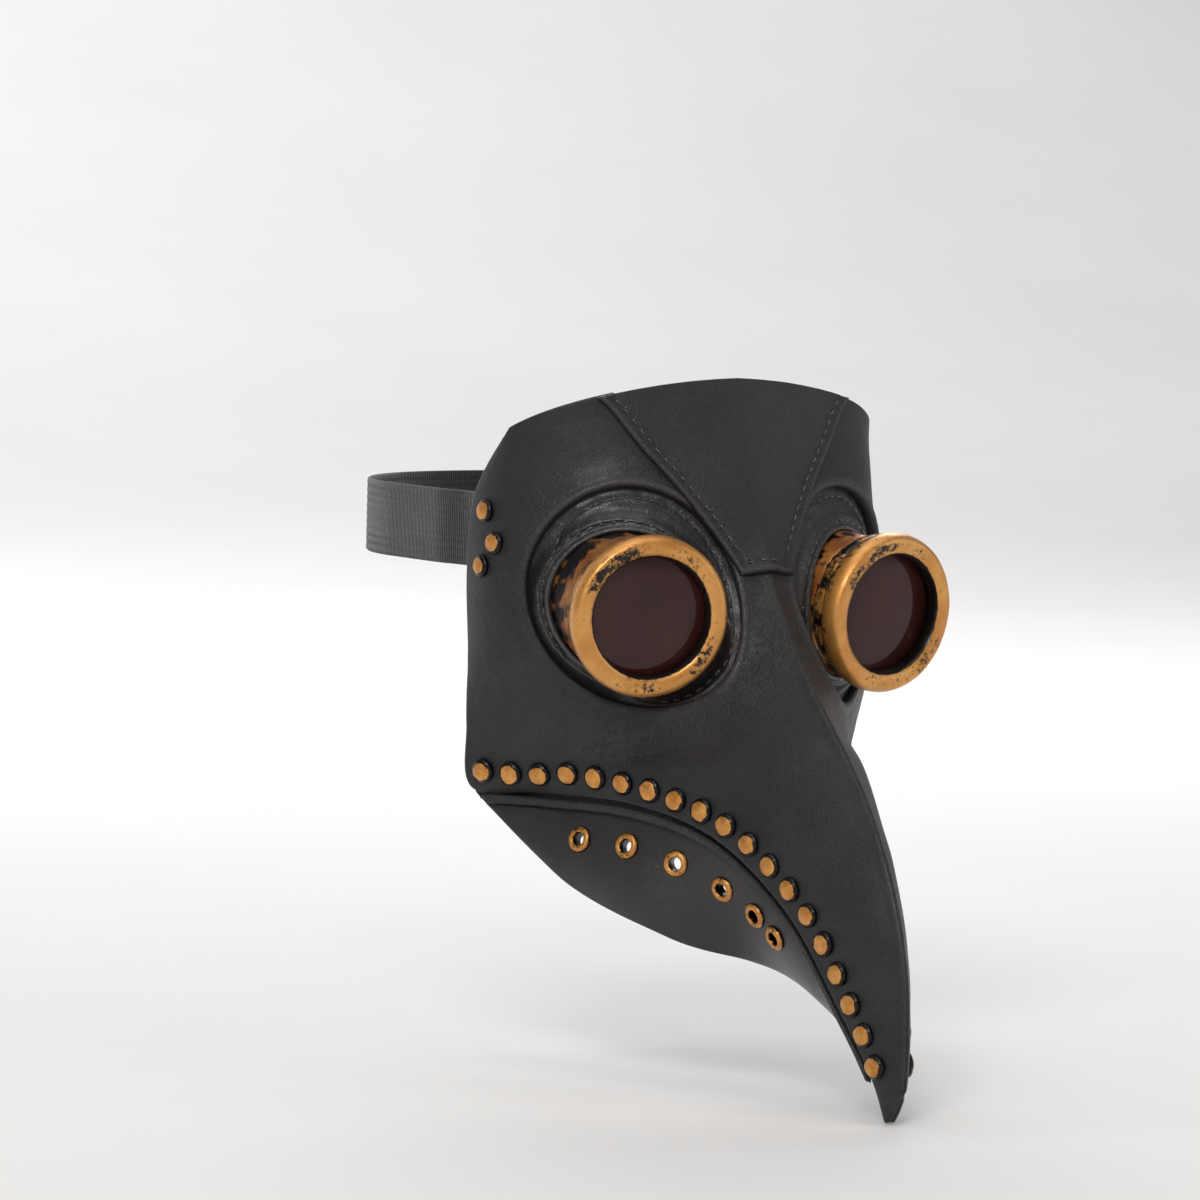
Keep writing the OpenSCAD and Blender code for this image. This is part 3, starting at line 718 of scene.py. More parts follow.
def buildForehead(s):
    rows = edgeRows(0.075, s["rows"], s["rowsNearEdge"])
    us = s["topRib"] + (mask["seamFootRib"] - s["topRib"]) * rows
    grid = []
    for u in us:
        width = max(0.012, 2 * lengths(faceAt(np.full(20, u), np.linspace(0, seamV(u), 20)))[-1])
        shares = edgeRows(width, s["columns"], s["rowsNearEdge"])
        grid.append(foreheadSurface(np.full(len(shares), u), shares * 2 - 1))
    base = np.array(grid)
    n = gridNormals(base)
    across = np.array([lengths(r) for r in base])
    fromSide = np.minimum(across, across[:, -1:] - across)
    down = np.array([lengths(base[:, j]) for j in range(base.shape[1])]).T
    seam = np.minimum(fromSide, down[-1:] - down)
    relief = (s["ridge"] * bump(seam / mm - 1.5, 1.0) - s["groove"] * bump(seam / mm - 2.9, 0.7)
              - s["groove"] * bump(seam / mm - s["stitchInset"], 0.6)) * mm
    relief += noiseAt(base, 24 * mm, 5.2, 2) * s["wave"] * mm * ease(seam / (8 * mm))
    drop = roundDrop(np.minimum(seam, down), s["edge"] * mm)
    outer = base + n * (s["rise"] + relief - drop)[..., None]
    inner = base + n * (s["gap"] + drop)[..., None]
    # the seam ridge and the top edge are painted lighter: edge wear plus a painted highlight on the ridge
    wearAndSheen = bump(seam / mm - 1.2, 1.0) * 0.75 + bump(down / mm, 1.2) * 0.4
    crease = 0.12 + 0.5 * bump(seam / mm - 5, 3.5)
    obj = makeShell("foreheadLeather", outer, inner, [finish["outerHide"], finish["fleshSide"]],
                    values={"wearAndSheen": wearAndSheen, "crease": crease})
    ride(obj, "mask", "leather", "forehead_panel")
    return {"points": base + n * (s["rise"] + relief)[..., None], "normals": n, "across": across,
            "down": down}


stitchSettings = {"length": 2.9 * mm, "gap": 1.25 * mm, "wide": 0.42 * mm, "high": 0.42 * mm,
                  "sink": 0.10 * mm, "sides": 8, "rings": 7}


def resample(points, step):
    run = lengths(points)
    count = max(1, int(run[-1] / step))
    return pointAt(np.linspace(0, run[-1], count + 1), run, points)


def stitchRow(name, lines, s, seed=1):
    # rice-shaped thread humps along each line of (points, normals)
    rng = random.Random(seed)
    verts, faces = [], []
    for points, normals in lines:
        run = lengths(points)
        pitch = s["length"] + s["gap"]
        for k in range(int(run[-1] / pitch)):
            mid = (k + 0.5) * pitch + rng.uniform(-0.1, 0.1) * mm
            half = s["length"] * rng.uniform(0.45, 0.52)
            a, b, c, n = (pointAt(mid + t, run, line)
                          for t, line in ((-half, points), (half, points), (0, points), (0, normals)))
            n = n / np.linalg.norm(n)
            along = (b - a) / np.linalg.norm(b - a)
            aside = np.cross(n, along) + along * rng.uniform(-0.06, 0.06)
            start = len(verts)
            for r in range(s["rings"]):
                t = -1 + 2 * r / (s["rings"] - 1)
                swell = math.sqrt(max(0.0, 1 - abs(t) ** 2.6)) * 0.92 + 0.08
                lift = s["high"] * (1 - t * t) * 0.5 - s["sink"]
                for q in range(s["sides"]):
                    w = 2 * math.pi * q / s["sides"]
                    verts.append(c + along * t * half + aside * math.cos(w) * s["wide"] * swell
                                 + n * (lift + math.sin(w) * s["high"] * swell))
            for r in range(s["rings"] - 1):
                for q in range(s["sides"]):
                    i, j = start + r * s["sides"] + q, start + r * s["sides"] + (q + 1) % s["sides"]
                    faces.append([i, j, j + s["sides"], i + s["sides"]])
            faces.append([start + q for q in reversed(range(s["sides"]))])
            faces.append([start + (s["rings"] - 1) * s["sides"] + q for q in range(s["sides"])])
    obj = finishMesh(name, verts, faces, [finish["thread"]], None, None, recalc=True)
    return ride(obj, "mask", "leather")


def foreheadStitches(rail, s):
    inset = foreheadSettings["stitchInset"] * mm
    lines = []
    for flipped in (False, True):
        points, normals = [], []
        for i in range(len(rail["down"])):
            run = rail["across"][i]
            left = rail["down"][-1, 0] - rail["down"][i, 0]
            if run[-1] < 2.2 * inset or left < inset or rail["down"][i, 0] < 1.5 * mm:
                continue
            at = run[-1] - inset if flipped else inset
            points.append(pointAt(at, run, rail["points"][i]))
            normals.append(pointAt(at, run, rail["normals"][i]))
        lines.append((np.array(points), np.array(normals)))
    foot = []
    for j in range(rail["points"].shape[1]):
        down = rail["down"][:, j]
        run = rail["across"][-1]
        if run[j] < inset * 0.9 or run[-1] - run[j] < inset * 0.9:
            continue
        at = down[-1] - inset
        foot.append([pointAt(at, down, line[:, j]) for line in (rail["points"], rail["normals"])])
    foot = np.array(foot)
    lines.append((foot[:, 0], foot[:, 1]))
    return stitchRow("foreheadStitches", lines, s, 4)


# cheek, brow and beak of one side; edges and relief in mm
sideSettings = {"rows": 236, "columns": 92, "edge": 0.8, "crestEdge": 0.45, "browSwell": 1.0,
                "crestPinch": 0.5,
                "notchRib": 11.15, "notch": 0.7, "wave": 0.45, "tipRound": 5.0, "tipPull": 0.55,
                "length": 0.30, "crestRib": 3.0}
creasedSpots = [  # under the eye, beside the nose and at the temple
    {"centre": (52, -14, -42), "reach": (16, 22, 10), "size": 7, "depth": 0.55,
     "seed": {"Left": 6.0, "Right": 2.0}},
    {"centre": (14, -44, -6), "reach": (12, 14, 15), "size": 6, "depth": 0.45,
     "seed": {"Left": 9.0, "Right": 4.0}},
    {"centre": (70, 22, -20), "reach": (12, 16, 26), "size": 9, "depth": 0.35,
     "seed": {"Left": 15.0, "Right": 12.0}}]


def buildSide(side, s):
    us = mask["tipRib"] * edgeRows(s["length"], s["rows"])
    base = []
    for u in us:
        start = float(panelStart(np.array(u)))
        width = max(0.003, lengths(faceAt(np.full(24, u), np.linspace(start, 1, 24)))[-1])
        v = start + (1 - start) * edgeRows(width, s["columns"])
        base.append(faceAt(np.full(len(v), u), v))
    base = np.array(base)
    u = np.repeat(us[:, None], base.shape[1], 1)
    n = gridNormals(base)
    run = np.array([lengths(r) for r in base])
    fromCrest, fromLip = run, run[:, -1:] - run
    down = np.array([lengths(base[:, j]) for j in range(base.shape[1])]).T
    fromTop, fromTip = down, down[-1:] - down
    oval = ovalDistance(base)
    angle = ovalAngle(base)
    brow = ease((np.sin(angle - 0.35) + 0.75) / 1.2)
    spots = [wrinkles(base, spot, side) for spot in creasedSpots]
    (under, underNear), (nose, noseNear), (temple, templeNear) = spots
    crestLine = ease((u - s["crestRib"]) / 1.5)
    relief = (s["browSwell"] * brow * bump((oval / mm).clip(0), 4.5) * (oval > 0)
              + s["crestPinch"] * crestLine * bump(fromCrest / mm, 2.4)
              - s["notch"] * bump((u - s["notchRib"]) * 12, 0.7) * bump(fromCrest / mm, 4.5)) * mm
    tip = base - base.mean(axis=1, keepdims=True)
    turn = roundDrop(fromTip, s["tipRound"] * mm) / (s["tipRound"] * mm)
    base = base - tip * np.array([0.0, 1, 1]) * (turn * s["tipPull"])[..., None]
    calm = ease(np.minimum(fromLip, oval.clip(0)) / (6 * mm))
    relief += under + nose + temple + slowWave(base, side, s["wave"]) * calm
    crestEdge = roundDrop(fromCrest, s["crestEdge"] * mm)
    drop = np.maximum.reduce([crestEdge] + [roundDrop(d, s["edge"] * mm) for d in (fromLip, fromTop,
                                                                                   fromTip)])
    outer = base + n * (relief - drop)[..., None]
    inner = base - n * (mask["thickness"] - drop)[..., None]
    for layer in (outer, inner):
        layer[..., 0] = np.maximum(layer[..., 0], 0) + mask["seamHalf"]
    # lighter along the lip, crest and brow edge and on the nose and under-eye wrinkle crests: edge wear plus
    # painted highlights
    wearAndSheen = (0.75 * bump(fromLip / mm - 0.5, 1.2) + 0.55 * crestLine * bump(fromCrest / mm - 0.8, 1.3)
            + 0.5 * brow * bump(oval / mm - 2.0, 2.2) + 0.35 * noseNear * (nose > 0)
            + 0.3 * underNear * (under > 0))
    crease = 0.10 + 0.9 * noseNear + 0.9 * underNear + 0.5 * templeNear + 0.35 * bump(oval / mm - 4, 5)
    obj = makeShell("sideLeather" + side, outer, inner, [finish["outerHide"], finish["fleshSide"]], keep=oval,
                    values={"wearAndSheen": wearAndSheen.clip(0, 1), "crease": crease.clip(0, 1)}, flip=side == "Right")
    return ride(obj, "mask", "leather", "side_panel_" + side.lower())


# the rolled edge round the opening, in mm
browSettings = {"steps": 180, "grow": 0.2}


def buildBrowRoll(side, s):
    phi = np.linspace(0, 2 * math.pi, s["steps"], endpoint=False)
    x = (eye["ovalWide"] + s["grow"] * mm) * np.cos(phi) + (ovalCentre - eyeCentre) @ eyeAcross
    y = (eye["ovalHigh"] + s["grow"] * mm) * np.sin(phi) + (ovalCentre - eyeCentre) @ eyeUp
    u, v = faceUnder(x, y)
    centres = faceAt(u, v)
    normals = normalAt(faceAt, u, v)
    tangent = np.roll(centres, -1, 0) - np.roll(centres, 1, 0)
    tangent /= np.linalg.norm(tangent, axis=1, keepdims=True)
    aside = np.cross(tangent, normals)
    aside *= np.sign(np.sum(aside * (centres - eyeCentre), axis=1, keepdims=True))
    height = 0.42 + 0.58 * ease((np.sin(phi - 0.35) + 0.75) / 1.2)
    shape = np.array([[4.6, -0.25], [3.4, 0.10], [2.2, 0.62], [1.2, 1.02], [0.3, 1.12], [-0.5, 0.86],
                      [-1.0, 0.3],
                      [-1.15, -0.4], [-1.05, -1.2], [-0.8, -2.3], [-0.2, -2.45], [0.4, -2.0], [1.5, -1.0]])
    sections = np.repeat(shape[None], len(phi), 0)
    raised = sections[..., 1] * (height * 1.25)[:, None]
    sections[..., 1] = np.where(sections[..., 1] > 0, raised, sections[..., 1])
    # the roll's crown is painted lighter, most along the brow and nose side: rubbed wear plus a painted
    # highlight
    rubbedAndSheen = np.tile([0, 0.1, 0.45, 0.9, 1, 0.7, 0.3, 0, 0, 0, 0, 0, 0], len(phi))
    wearAndSheen = rubbedAndSheen * np.repeat(height, len(shape)) * 0.85
    obj = sweep("browRoll" + side, centres, aside, normals, sections * mm, [finish["outerHide"]], closed=True,
                values={"wearAndSheen": wearAndSheen, "crease": np.full(len(wearAndSheen), 0.35)}, flip=side == "Right")
    smooth(obj, 1)
    return ride(obj, "mask", "leather")


def smooth(obj, levels):
    modifier = obj.modifiers.new("soften", "SUBSURF")
    modifier.levels = modifier.render_levels = levels


# the sunken leather round an eyepiece, in mm
socketSettings = {"rings": 46, "steps": 220, "lap": 3.5, "beadHigh": 1.05, "groove": 0.3,
                  "innerRow": 3.6, "outerRow": 3.5, "pucker": 0.22}


def socketGrid(s):
    phi = np.linspace(0, 2 * math.pi, s["steps"], endpoint=False)
    inX, inY = (eye["barrel"] + 0.05 * mm) * np.cos(phi), (eye["barrel"] + 0.05 * mm) * np.sin(phi)
    shift = ovalCentre - eyeCentre
    outX = (eye["ovalWide"] + s["lap"] * mm) * np.cos(phi) + shift @ eyeAcross
    outY = (eye["ovalHigh"] + s["lap"] * mm) * np.sin(phi) + shift @ eyeUp
    share = np.concatenate([[0, 0.006, 0.02, 0.04, 0.065], np.linspace(0.09, 1, s["rings"])])[:, None]
    x, y = inX * (1 - share) + outX * share, inY * (1 - share) + outY * share
    u, v = faceUnder(x, y)
    p = faceAt(u, v)
    out = p - eyeCentre
    far = np.linalg.norm(out - eyeAxis * (out @ eyeAxis)[..., None], axis=-1)
    flat = 1 - ease((far - eye["barrel"] - eye["clamp"]) / eye["flatten"])
    p = p - eyePlane * ((out @ eyePlane) * flat)[..., None]
    return phi, p, far


def buildSocket(side, s):
    phi, base, far = socketGrid(s)
    n = gridNormals(base, wrap=True)
    n = n * np.sign(np.sum(n * eyePlane, axis=-1, keepdims=True))
    fromBarrel = (far - eye["barrel"]) / mm
    fromBrow = -ovalDistance(base) / mm
    run = np.cumsum(np.vstack([np.zeros(len(phi)), np.linalg.norm(np.diff(base, axis=0), axis=2)]), axis=0)
    pucker = noiseAt(mirrored(side, base), 5 * mm, 7.7, 2) * s["pucker"]
    relief = (s["beadHigh"] * bump(fromBarrel - 1.2, 0.95) - s["groove"] * bump(fromBarrel - 2.5, 0.5)
              - s["groove"] * bump(fromBarrel - s["innerRow"], 0.55)
              - s["groove"] * bump(fromBrow - s["outerRow"], 0.55)
              + 0.5 * ease((fromBarrel - 4) / 3) * ease((fromBrow - 4.5) / 3)
              + pucker * ease(fromBarrel / 3)) * mm
    drop = roundDrop(run, 0.9 * mm)
    outer = base + n * (relief - drop - mask["under"])[..., None]
    inner = base - n * (mask["under"] + mask["thickness"] - np.minimum(drop, 0.7 * mm))[..., None]
    # the bead round the barrel and the pucker tops are painted lighter: wear plus a painted highlight
    wearAndSheen = 0.95 * bump(fromBarrel - 1.2, 0.8) + 0.2 * (pucker > 0.05)
    crease = 0.35 + 0.6 * bump(fromBarrel - 3, 2.5)
    obj = makeShell("socketLeather" + side, outer, inner, [finish["socketHide"], finish["fleshSide"]],
                    wrap=True, values={"wearAndSheen": wearAndSheen.clip(0, 1), "crease": crease.clip(0, 1)},
                    flip=side == "Right")
    ride(obj, "mask", "socket_leather", "eye_surround_" + side.lower())
    top = base + n * (relief - mask["under"])[..., None]
    rows = []
    for field, at, arc in ((fromBarrel, s["innerRow"], (-20, 200)), (fromBrow, s["outerRow"], (-40, 260))):
        points, normals = [], []
        for degrees in np.arange(arc[0], arc[1], 1.0):
            j = int(round((degrees % 360) / 360 * len(phi))) % len(phi)
            column = field[:, j] if field is fromBarrel else -field[:, j]
            level = at if field is fromBarrel else -at
            points.append(pointAt(level, column, top[:, j]))
            normals.append(pointAt(level, column, n[:, j]))
        rows.append((mirrored(side, np.array(points)), mirrored(side, np.array(normals))))
    stitchRow("socketStitches" + side, rows, stitchSettings, 9 if side == "Right" else 12)


# lower jaw of one side, in mm
jawSettings = {"rows": 150, "columns": 84, "edge": 0.8, "wave": 0.35, "calm": 8, "hole": 2.9}


def buildJaw(side, s):
    us = mask["cornerRib"] + (mask["jawEndRib"] - mask["cornerRib"]) * edgeRows(0.2, s["rows"])
    base, n = [], []
    for u in us:
        tuck = 0.35 + 0.65 * float(ease((u - mask["cornerRib"]) / 0.7))
        t = np.linspace(-tuck, 1, 400)
        line = jawAt(np.full(400, u), t)
        run = lengths(line)
        at = edgeRows(max(0.004, run[-1]), s["columns"]) * run[-1]
        base.append(pointAt(at, run, line))
        t = np.interp(at, run, t)
        steady = np.full(len(t), np.clip(u, mask["cornerRib"] + 0.04, mask["jawEndRib"] - 0.04))
        behind = 1 + (lipInset(u, mask["lipLap"]) - 1) * np.clip(-t, 0.15, 1)
        n.append(np.where((t < 0)[:, None], normalAt(faceAt, steady, behind),
                          normalAt(jawAt, steady, np.clip(t, 0.06, 0.98))))
    base, n = np.array(base), np.array(n)
    n[..., 0] *= ease(base[..., 0] / (2.5 * mm))
    n /= np.maximum(np.linalg.norm(n, axis=-1, keepdims=True), 1e-9)
    for _ in range(s["calm"]):
        n[:, 1:-1] = n[:, 1:-1] * 2 + n[:, :-2] + n[:, 2:]
        n[1:-1] = n[1:-1] * 2 + n[:-2] + n[2:]
        n /= np.linalg.norm(n, axis=-1, keepdims=True)
    run = np.array([lengths(r) for r in base])
    fromKeel, fromTuck = run[:, -1:] - run, run
    down = np.array([lengths(base[:, j]) for j in range(base.shape[1])]).T
    ends = np.minimum(down, down[-1:] - down)
    relief = slowWave(base, side, s["wave"]) * ease(fromTuck / (16 * mm))
    drop = np.maximum.reduce([roundDrop(d, s["edge"] * mm) for d in (fromKeel, fromTuck, ends)])
    outer = base + n * (relief - drop - mask["under"])[..., None]
    inner = base - n * (mask["under"] + mask["thickness"] - drop)[..., None]
    for layer in (outer, inner):
        layer[..., 0] = np.maximum(layer[..., 0], 0) + mask["seamHalf"]
    wearAndSheen = 0.8 * bump(fromKeel / mm - 0.6, 1.2)
    crease = 0.06 + 0.5 * bump(fromTuck / mm - 14, 4)
    surface = base - n * mask["under"]
    centres = [place[0] for place in eyeletFrames(eyeletSettings)]
    holes = np.min([np.linalg.norm(surface - c, axis=-1) for c in centres], axis=0)
    obj = makeShell("jawLeather" + side, outer, inner, [finish["jawHidePaintedReflection"], finish["fleshSide"]],
                    keep=holes - s["hole"] * mm, values={"wearAndSheen": wearAndSheen, "crease": crease},
                    flip=side == "Right")
    return ride(obj, "mask", "jaw_leather", "jaw_panel_" + side.lower())


# the piping below the lip, in mm
weltSettings = {"width": 3.4, "height": 2.8, "drop": 1.1, "steps": 260, "sides": 16, "start": 0.15}


def buildWelt(side, s):
    u = np.linspace(mask["cornerRib"] + s["start"], mask["jawEndRib"], s["steps"])
    top = jawAt(u, np.zeros_like(u) + 1e-4)
    down = jawAt(u, np.zeros_like(u) + 0.06) - top
    down /= np.linalg.norm(down, axis=1, keepdims=True)
    out = normalAt(jawAt, u, np.zeros_like(u) + 0.1)
    centres = top + down * (s["width"] / 2 + s["drop"]) * mm - out * (mask["under"] - 1.5 * mm)
    a = np.linspace(0, 2 * math.pi, s["sides"], endpoint=False)
    shape = np.stack([s["width"] / 2 * np.sign(np.cos(a)) * np.abs(np.cos(a)) ** 0.8,
                      s["height"] / 2 * np.sign(np.sin(a)) * np.abs(np.sin(a)) ** 0.9], axis=1) * mm
    run = lengths(centres)
    ends = ease(np.minimum(run, run[-1] - run) / (2.5 * mm)) * 0.85 + 0.15
    ripple = 1 + 0.045 * noiseAt(mirrored(side, centres), 5 * mm, 2.2, 1)
    sections = shape[None] * (ends * ripple)[:, None, None]
    # the welt's outward face is painted lighter: wear plus a painted highlight on its crown
    wearAndSheen = np.tile(0.7 * np.maximum(np.sin(a), 0) ** 3, s["steps"])
    obj = sweep("lipWelt" + side, centres, down, out, sections, [finish["outerHide"]],
                values={"wearAndSheen": wearAndSheen, "crease": np.full(len(wearAndSheen), 0.4)}, flip=side == "Right")
    return ride(obj, "mask", "leather", "lip_welt_" + side.lower())


def placeFrames(points, normals):
    frames = []
    for p, n in zip(points, normals):
        n = n / np.linalg.norm(n)
        x = np.cross([0, 0, 1.0], n)
        x /= np.linalg.norm(x)
        frames.append((p, x, np.cross(n, x), n))
    return frames


def revolve(axes, profile, steps, grimeAndShadeOf=None, warp=None, closed=False, caps=()):
    # rings of (radius, height) points round an axis; caps are the profile's ends that a flat face closes
    origin, x, y, z = axes
    verts, grimeAndShade, faces = [], [], []
    for k in range(steps):
        a = 2 * math.pi * k / steps
        for j, (r, h) in enumerate(profile):
            r2, h2 = warp(a, r, h, j) if warp else (r, h)
            verts.append(origin + (x * math.cos(a) + y * math.sin(a)) * r2 + z * h2)
            grimeAndShade.append(grimeAndShadeOf(a, r, h, j) if grimeAndShadeOf else 0.0)
    m = len(profile)
    starts = [(k * m, ((k + 1) % steps) * m) for k in range(steps)]
    for a, b in starts:
        faces += [[a + j, b + j, b + j + 1, a + j + 1] for j in range(m - 1)]
    if closed:
        faces += [[a + m - 1, b + m - 1, b, a] for a, b in starts]
    for end in caps:
        faces.append([k * m + end % m for k in range(steps)])
    return verts, faces, grimeAndShade


def mergeParts(name, parts, material, flip):
    verts, faces, grimeAndShade = [], [], []
    for v, f, g in parts:
        start = len(verts)
        verts += list(v)
        faces += [[i + start for i in face] for face in f]
        grimeAndShade += list(g)
    verts = np.array(verts)
    if flip:
        verts = verts * np.array([-1, 1, 1])
    return finishMesh(name, verts, faces, [material], None, {"grimeAndShade": grimeAndShade}, recalc=True)


# rib number against the stud row's distance from the panel's edge, in mm
studRow = [(4.75, 8), (5.05, 20), (5.3, 22), (5.6, 20), (6, 14.5), (7, 10.5), (8, 9), (9, 8), (10, 6),
           (10.8, 4)]
studSettings = {"count": 19, "radius": 4.1, "height": 2.4, "wall": 0.9, "steps": 40, "face": 3.35,
                "dent": 0.13}
rivetSettings = {"places": [(1.3, 0.9), (1.72, 0.85), (1.98, 0.91)], "radius": 3.8, "height": 2.0,
                 "wall": 0.8, "steps": 36, "face": 3.0, "dent": 0.10}
eyeletSettings = {"count": 6, "hole": 2.1, "flange": 2.3, "high": 1.4, "reach": 3.2, "share": 0.36,
                  "rise": 0.08, "crowding": 1.35, "start": 41, "end": 121, "steps": 44}


def headParts(frames, s, seed):
    # low hammered heads: a domed gilt face over a dark rounded wall
    parts = []
    rng = random.Random(seed)
    wall, top, radius = s["wall"], s["height"], s["radius"]
    profile = [(radius * 0.97, -0.35), (radius, 0.1), (radius, wall * 0.6), (radius * 0.985, wall),
               (radius * 0.94, wall + 0.32), (s["face"] * 1.03, wall + 0.62)]
    for t in (0.96, 0.85, 0.7, 0.52, 0.34, 0.16, 0.02):
        r = s["face"] * t
        profile.append((r, top - (top - wall - 0.75) * t * t))
    for axes in frames:
        shift = rng.uniform(0, 50)
        lean = rng.uniform(-0.10, 0.10)
        grow = rng.uniform(0.97, 1.03)

        def warp(a, r, h, j):
            spot = Vector((r * math.cos(a) * 0.55 + shift, r * math.sin(a) * 0.55, shift))
            n = noise.fractal(spot, 1.0, 2.0, 2)
            dent = s["dent"] * n * 1.6 if j > 3 else 0.03 * n
            edge = 1 + 0.035 * noise.noise(Vector((math.cos(a) * 1.3 + shift, math.sin(a) * 1.3, 0)))
            return r * grow * edge * mm, (h + dent + lean * r * 0.06 * math.cos(a)) * mm

        def grimeAndShade(a, r, h, j):
            fade = r / s["face"] + 0.10 * noise.noise(Vector((math.cos(a) * 1.6, math.sin(a) * 1.6, shift)))
            dull = 0.12 * max(0.0, math.sin(shift)) * (r < s["face"])
            return float(np.clip((fade - 0.90) / 0.13, 0, 1)) + dull

        parts.append(revolve(axes, profile, s["steps"], grimeAndShade, warp, caps=(-1,)))
    return parts


def studFrames():
    knots, insets = zip(*studRow)
    us = np.linspace(knots[0], knots[-1], 61)
    vs = lipInset(us, np.interp(us, knots, insets) * mm)
    run = lengths(faceAt(us, vs))
    u = np.interp(np.linspace(0, run[-1], studSettings["count"]), run, us)
    v = lipInset(u, np.interp(u, knots, insets) * mm)
    return placeFrames(faceAt(u, v), normalAt(faceAt, u, v))


def eyeletFrames(s):
    us = np.linspace(mask["cornerRib"], mask["jawEndRib"], 61)
    run = lengths(faceAt(us, np.ones_like(us)))
    share = np.arange(s["count"]) / (s["count"] - 1)
    away = (s["end"] + (s["start"] - s["end"]) * (1 - share) ** s["crowding"]) * mm
    u = np.interp(away, run, us)
    t = s["share"] - s["rise"] * 4 * share * (1 - share)
    n = normalAt(jawAt, u, t)
    return placeFrames(jawAt(u, t) - n * mask["under"], n)


def buildHardware(side):
    flip = side == "Right"
    low = side.lower()
    studs = mergeParts("lipStuds" + side, headParts(studFrames(), studSettings, 21 if flip else 5),
                       finish["giltStuds"], flip)
    ride(studs, "mask", "gilt_hardware", "lip_studs_" + low)
    places = np.array(rivetSettings["places"])
    frames = placeFrames(faceAt(places[:, 0], places[:, 1]), normalAt(faceAt, places[:, 0], places[:, 1]))
    rivets = mergeParts("strapRivets" + side, headParts(frames, rivetSettings, 33 if flip else 8),
                        finish["giltStuds"], flip)
    ride(rivets, "mask", "gilt_hardware", "strap_rivets_" + low)
    s = eyeletSettings
    hole, outside, high = s["hole"], s["hole"] + s["flange"], s["high"]
    profile = [(hole + 0.45, -s["reach"]), (hole, -s["reach"] + 0.1), (hole, -0.2), (hole + 0.08, high * 0.6),
               (hole + 0.35, high * 0.92), (hole + 0.8, high * 1.05), (outside - 0.75, high * 0.9),
               (outside - 0.25, high * 0.55), (outside, 0.12), (outside - 0.05, -0.25), (outside - 0.7, -0.3)]
    parts = []
    for number, place in enumerate(eyeletFrames(s)):
        def warp(a, r, h, j):
            n = noise.noise(Vector((math.cos(a) * 2 + number * 5, math.sin(a) * 2, 0)))
            return (r + 0.05 * n) * mm, (h + 0.06 * n * (h > 0.3)) * mm

        def grimeAndShade(a, r, h, j):
            n = 0.5 + 0.5 * noise.noise(Vector((math.cos(a) * 1.4, math.sin(a) * 1.4, number * 3.0)))
            # the tube down into the hole is painted dark as shade; the dark outer rim is the eyelet's own
            # black edge
            return 1.0 if j < 3 else 0.85 if j > 7 else 0.35 * n + 0.25 * (j == 3)

        parts.append(revolve(place, profile, s["steps"], grimeAndShade, warp))
    eyelets = mergeParts("jawEyelets" + side, parts, finish["giltStuds"], flip)
    ride(eyelets, "mask", "gilt_hardware", "jaw_eyelets_" + low)


# gilt ring, copper barrel and lens of an eyepiece, in mm and degrees
bezelSettings = {"steps": 180, "depth": 8.5, "skirtDepth": 4.0, "lip": 6.0,
                 "patches": [(118, 26, 0.50), (150, 12, 0.35), (60, 16, 0.25), (-38, 24, 0.42),
                             (-95, 22, 0.22)]}
barrelSettings = {"steps": 180, "rings": 30, "dent": 0.35, "clear": 7.4}
lensSettings = {"radius": 23.1, "thickness": 2.2, "crown": 1.6, "steps": 96, "rings": 22}
eyeAxes = (eyeCentre, eyeAcross, eyeUp, eyeAxis)


def buildBezel(side, s):
    outer, opening, front = eye["bezel"] / mm, eye["opening"] / mm, eye["front"] / mm
    seat, skirt = front - s["lip"], eye["skirt"] / mm
    bulge, rear = s["depth"] / 2, front - s["depth"]
    foot, bore = rear - s["skirtDepth"], eye["barrel"] / mm + 0.05
    profile = [(bore, foot), (skirt - 0.25, foot), (skirt, foot + 0.3), (skirt, rear - 0.5),
               (skirt - 0.25, rear - 0.15), (skirt - 0.1, rear + 0.05)]
    for a in np.radians(np.linspace(-80, 80, 15)):
        profile.append((outer - 2.5 + 2.5 * math.cos(a), front - bulge + bulge * math.sin(a)))
    profile += [(outer - 3.3, front - 0.02), (opening + 2.6, front - 0.03), (opening + 1.6, front - 0.22),
                (opening + 0.8, front - 0.6), (opening + 0.25, front - 1.15), (opening, front - 1.9),
                (opening, front - 3.5), (opening, seat), (bore, seat)]
    faceFrom, boreFrom = 6, len(profile) - 5
    seed = 3.0 if side == "Right" else 11.0

    def warp(a, r, h, j):
        n = noise.fractal(Vector((math.cos(a) * 3.2 + seed, math.sin(a) * 3.2, h * 0.3)), 1.0, 2.0, 3)
        soft = 0.10 if faceFrom <= j < boreFrom else 0.0
        return (r + soft * n * (r > opening + 0.5)) * mm, (h + soft * 0.8 * n * (h > seat + 1)) * mm

    def grimeAndShade(a, r, h, j):
        degrees = math.degrees(math.atan2(math.sin(a), -math.cos(a) if side == "Right" else math.cos(a)))
        # the bore inside the opening is painted fully dark as shade
        if j >= boreFrom:
            return 1.0
        if j < faceFrom:
            return 0.30 + 0.5 * noise.noise(Vector((math.cos(a) * 4, math.sin(a) * 4, seed)))
        total = 0.0
        for centre, wide, strength in s["patches"]:
            away = (degrees - centre + 180) % 360 - 180
            total += strength * math.exp(-(away / wide) ** 2) * math.exp(-((r - opening - 3.0) / 2.4) ** 2)
        # darker towards the ring's back and at the opening's lip: painted shade
        rim = max(0.0, (front - 2.2 - h) / 4.5)
        return min(1.0, total + 0.32 * rim + 0.25 * math.exp(-((r - opening) / 0.7) ** 2))

    ring = revolve(eyeAxes, profile, s["steps"], grimeAndShade, warp, closed=True)
    obj = mergeParts("bezelRing" + side, [ring], finish["giltBezel"], side == "Right")
    ride(obj, "bezel_" + side.lower(), "gilt_bezel", "bezel_ring_" + side.lower())


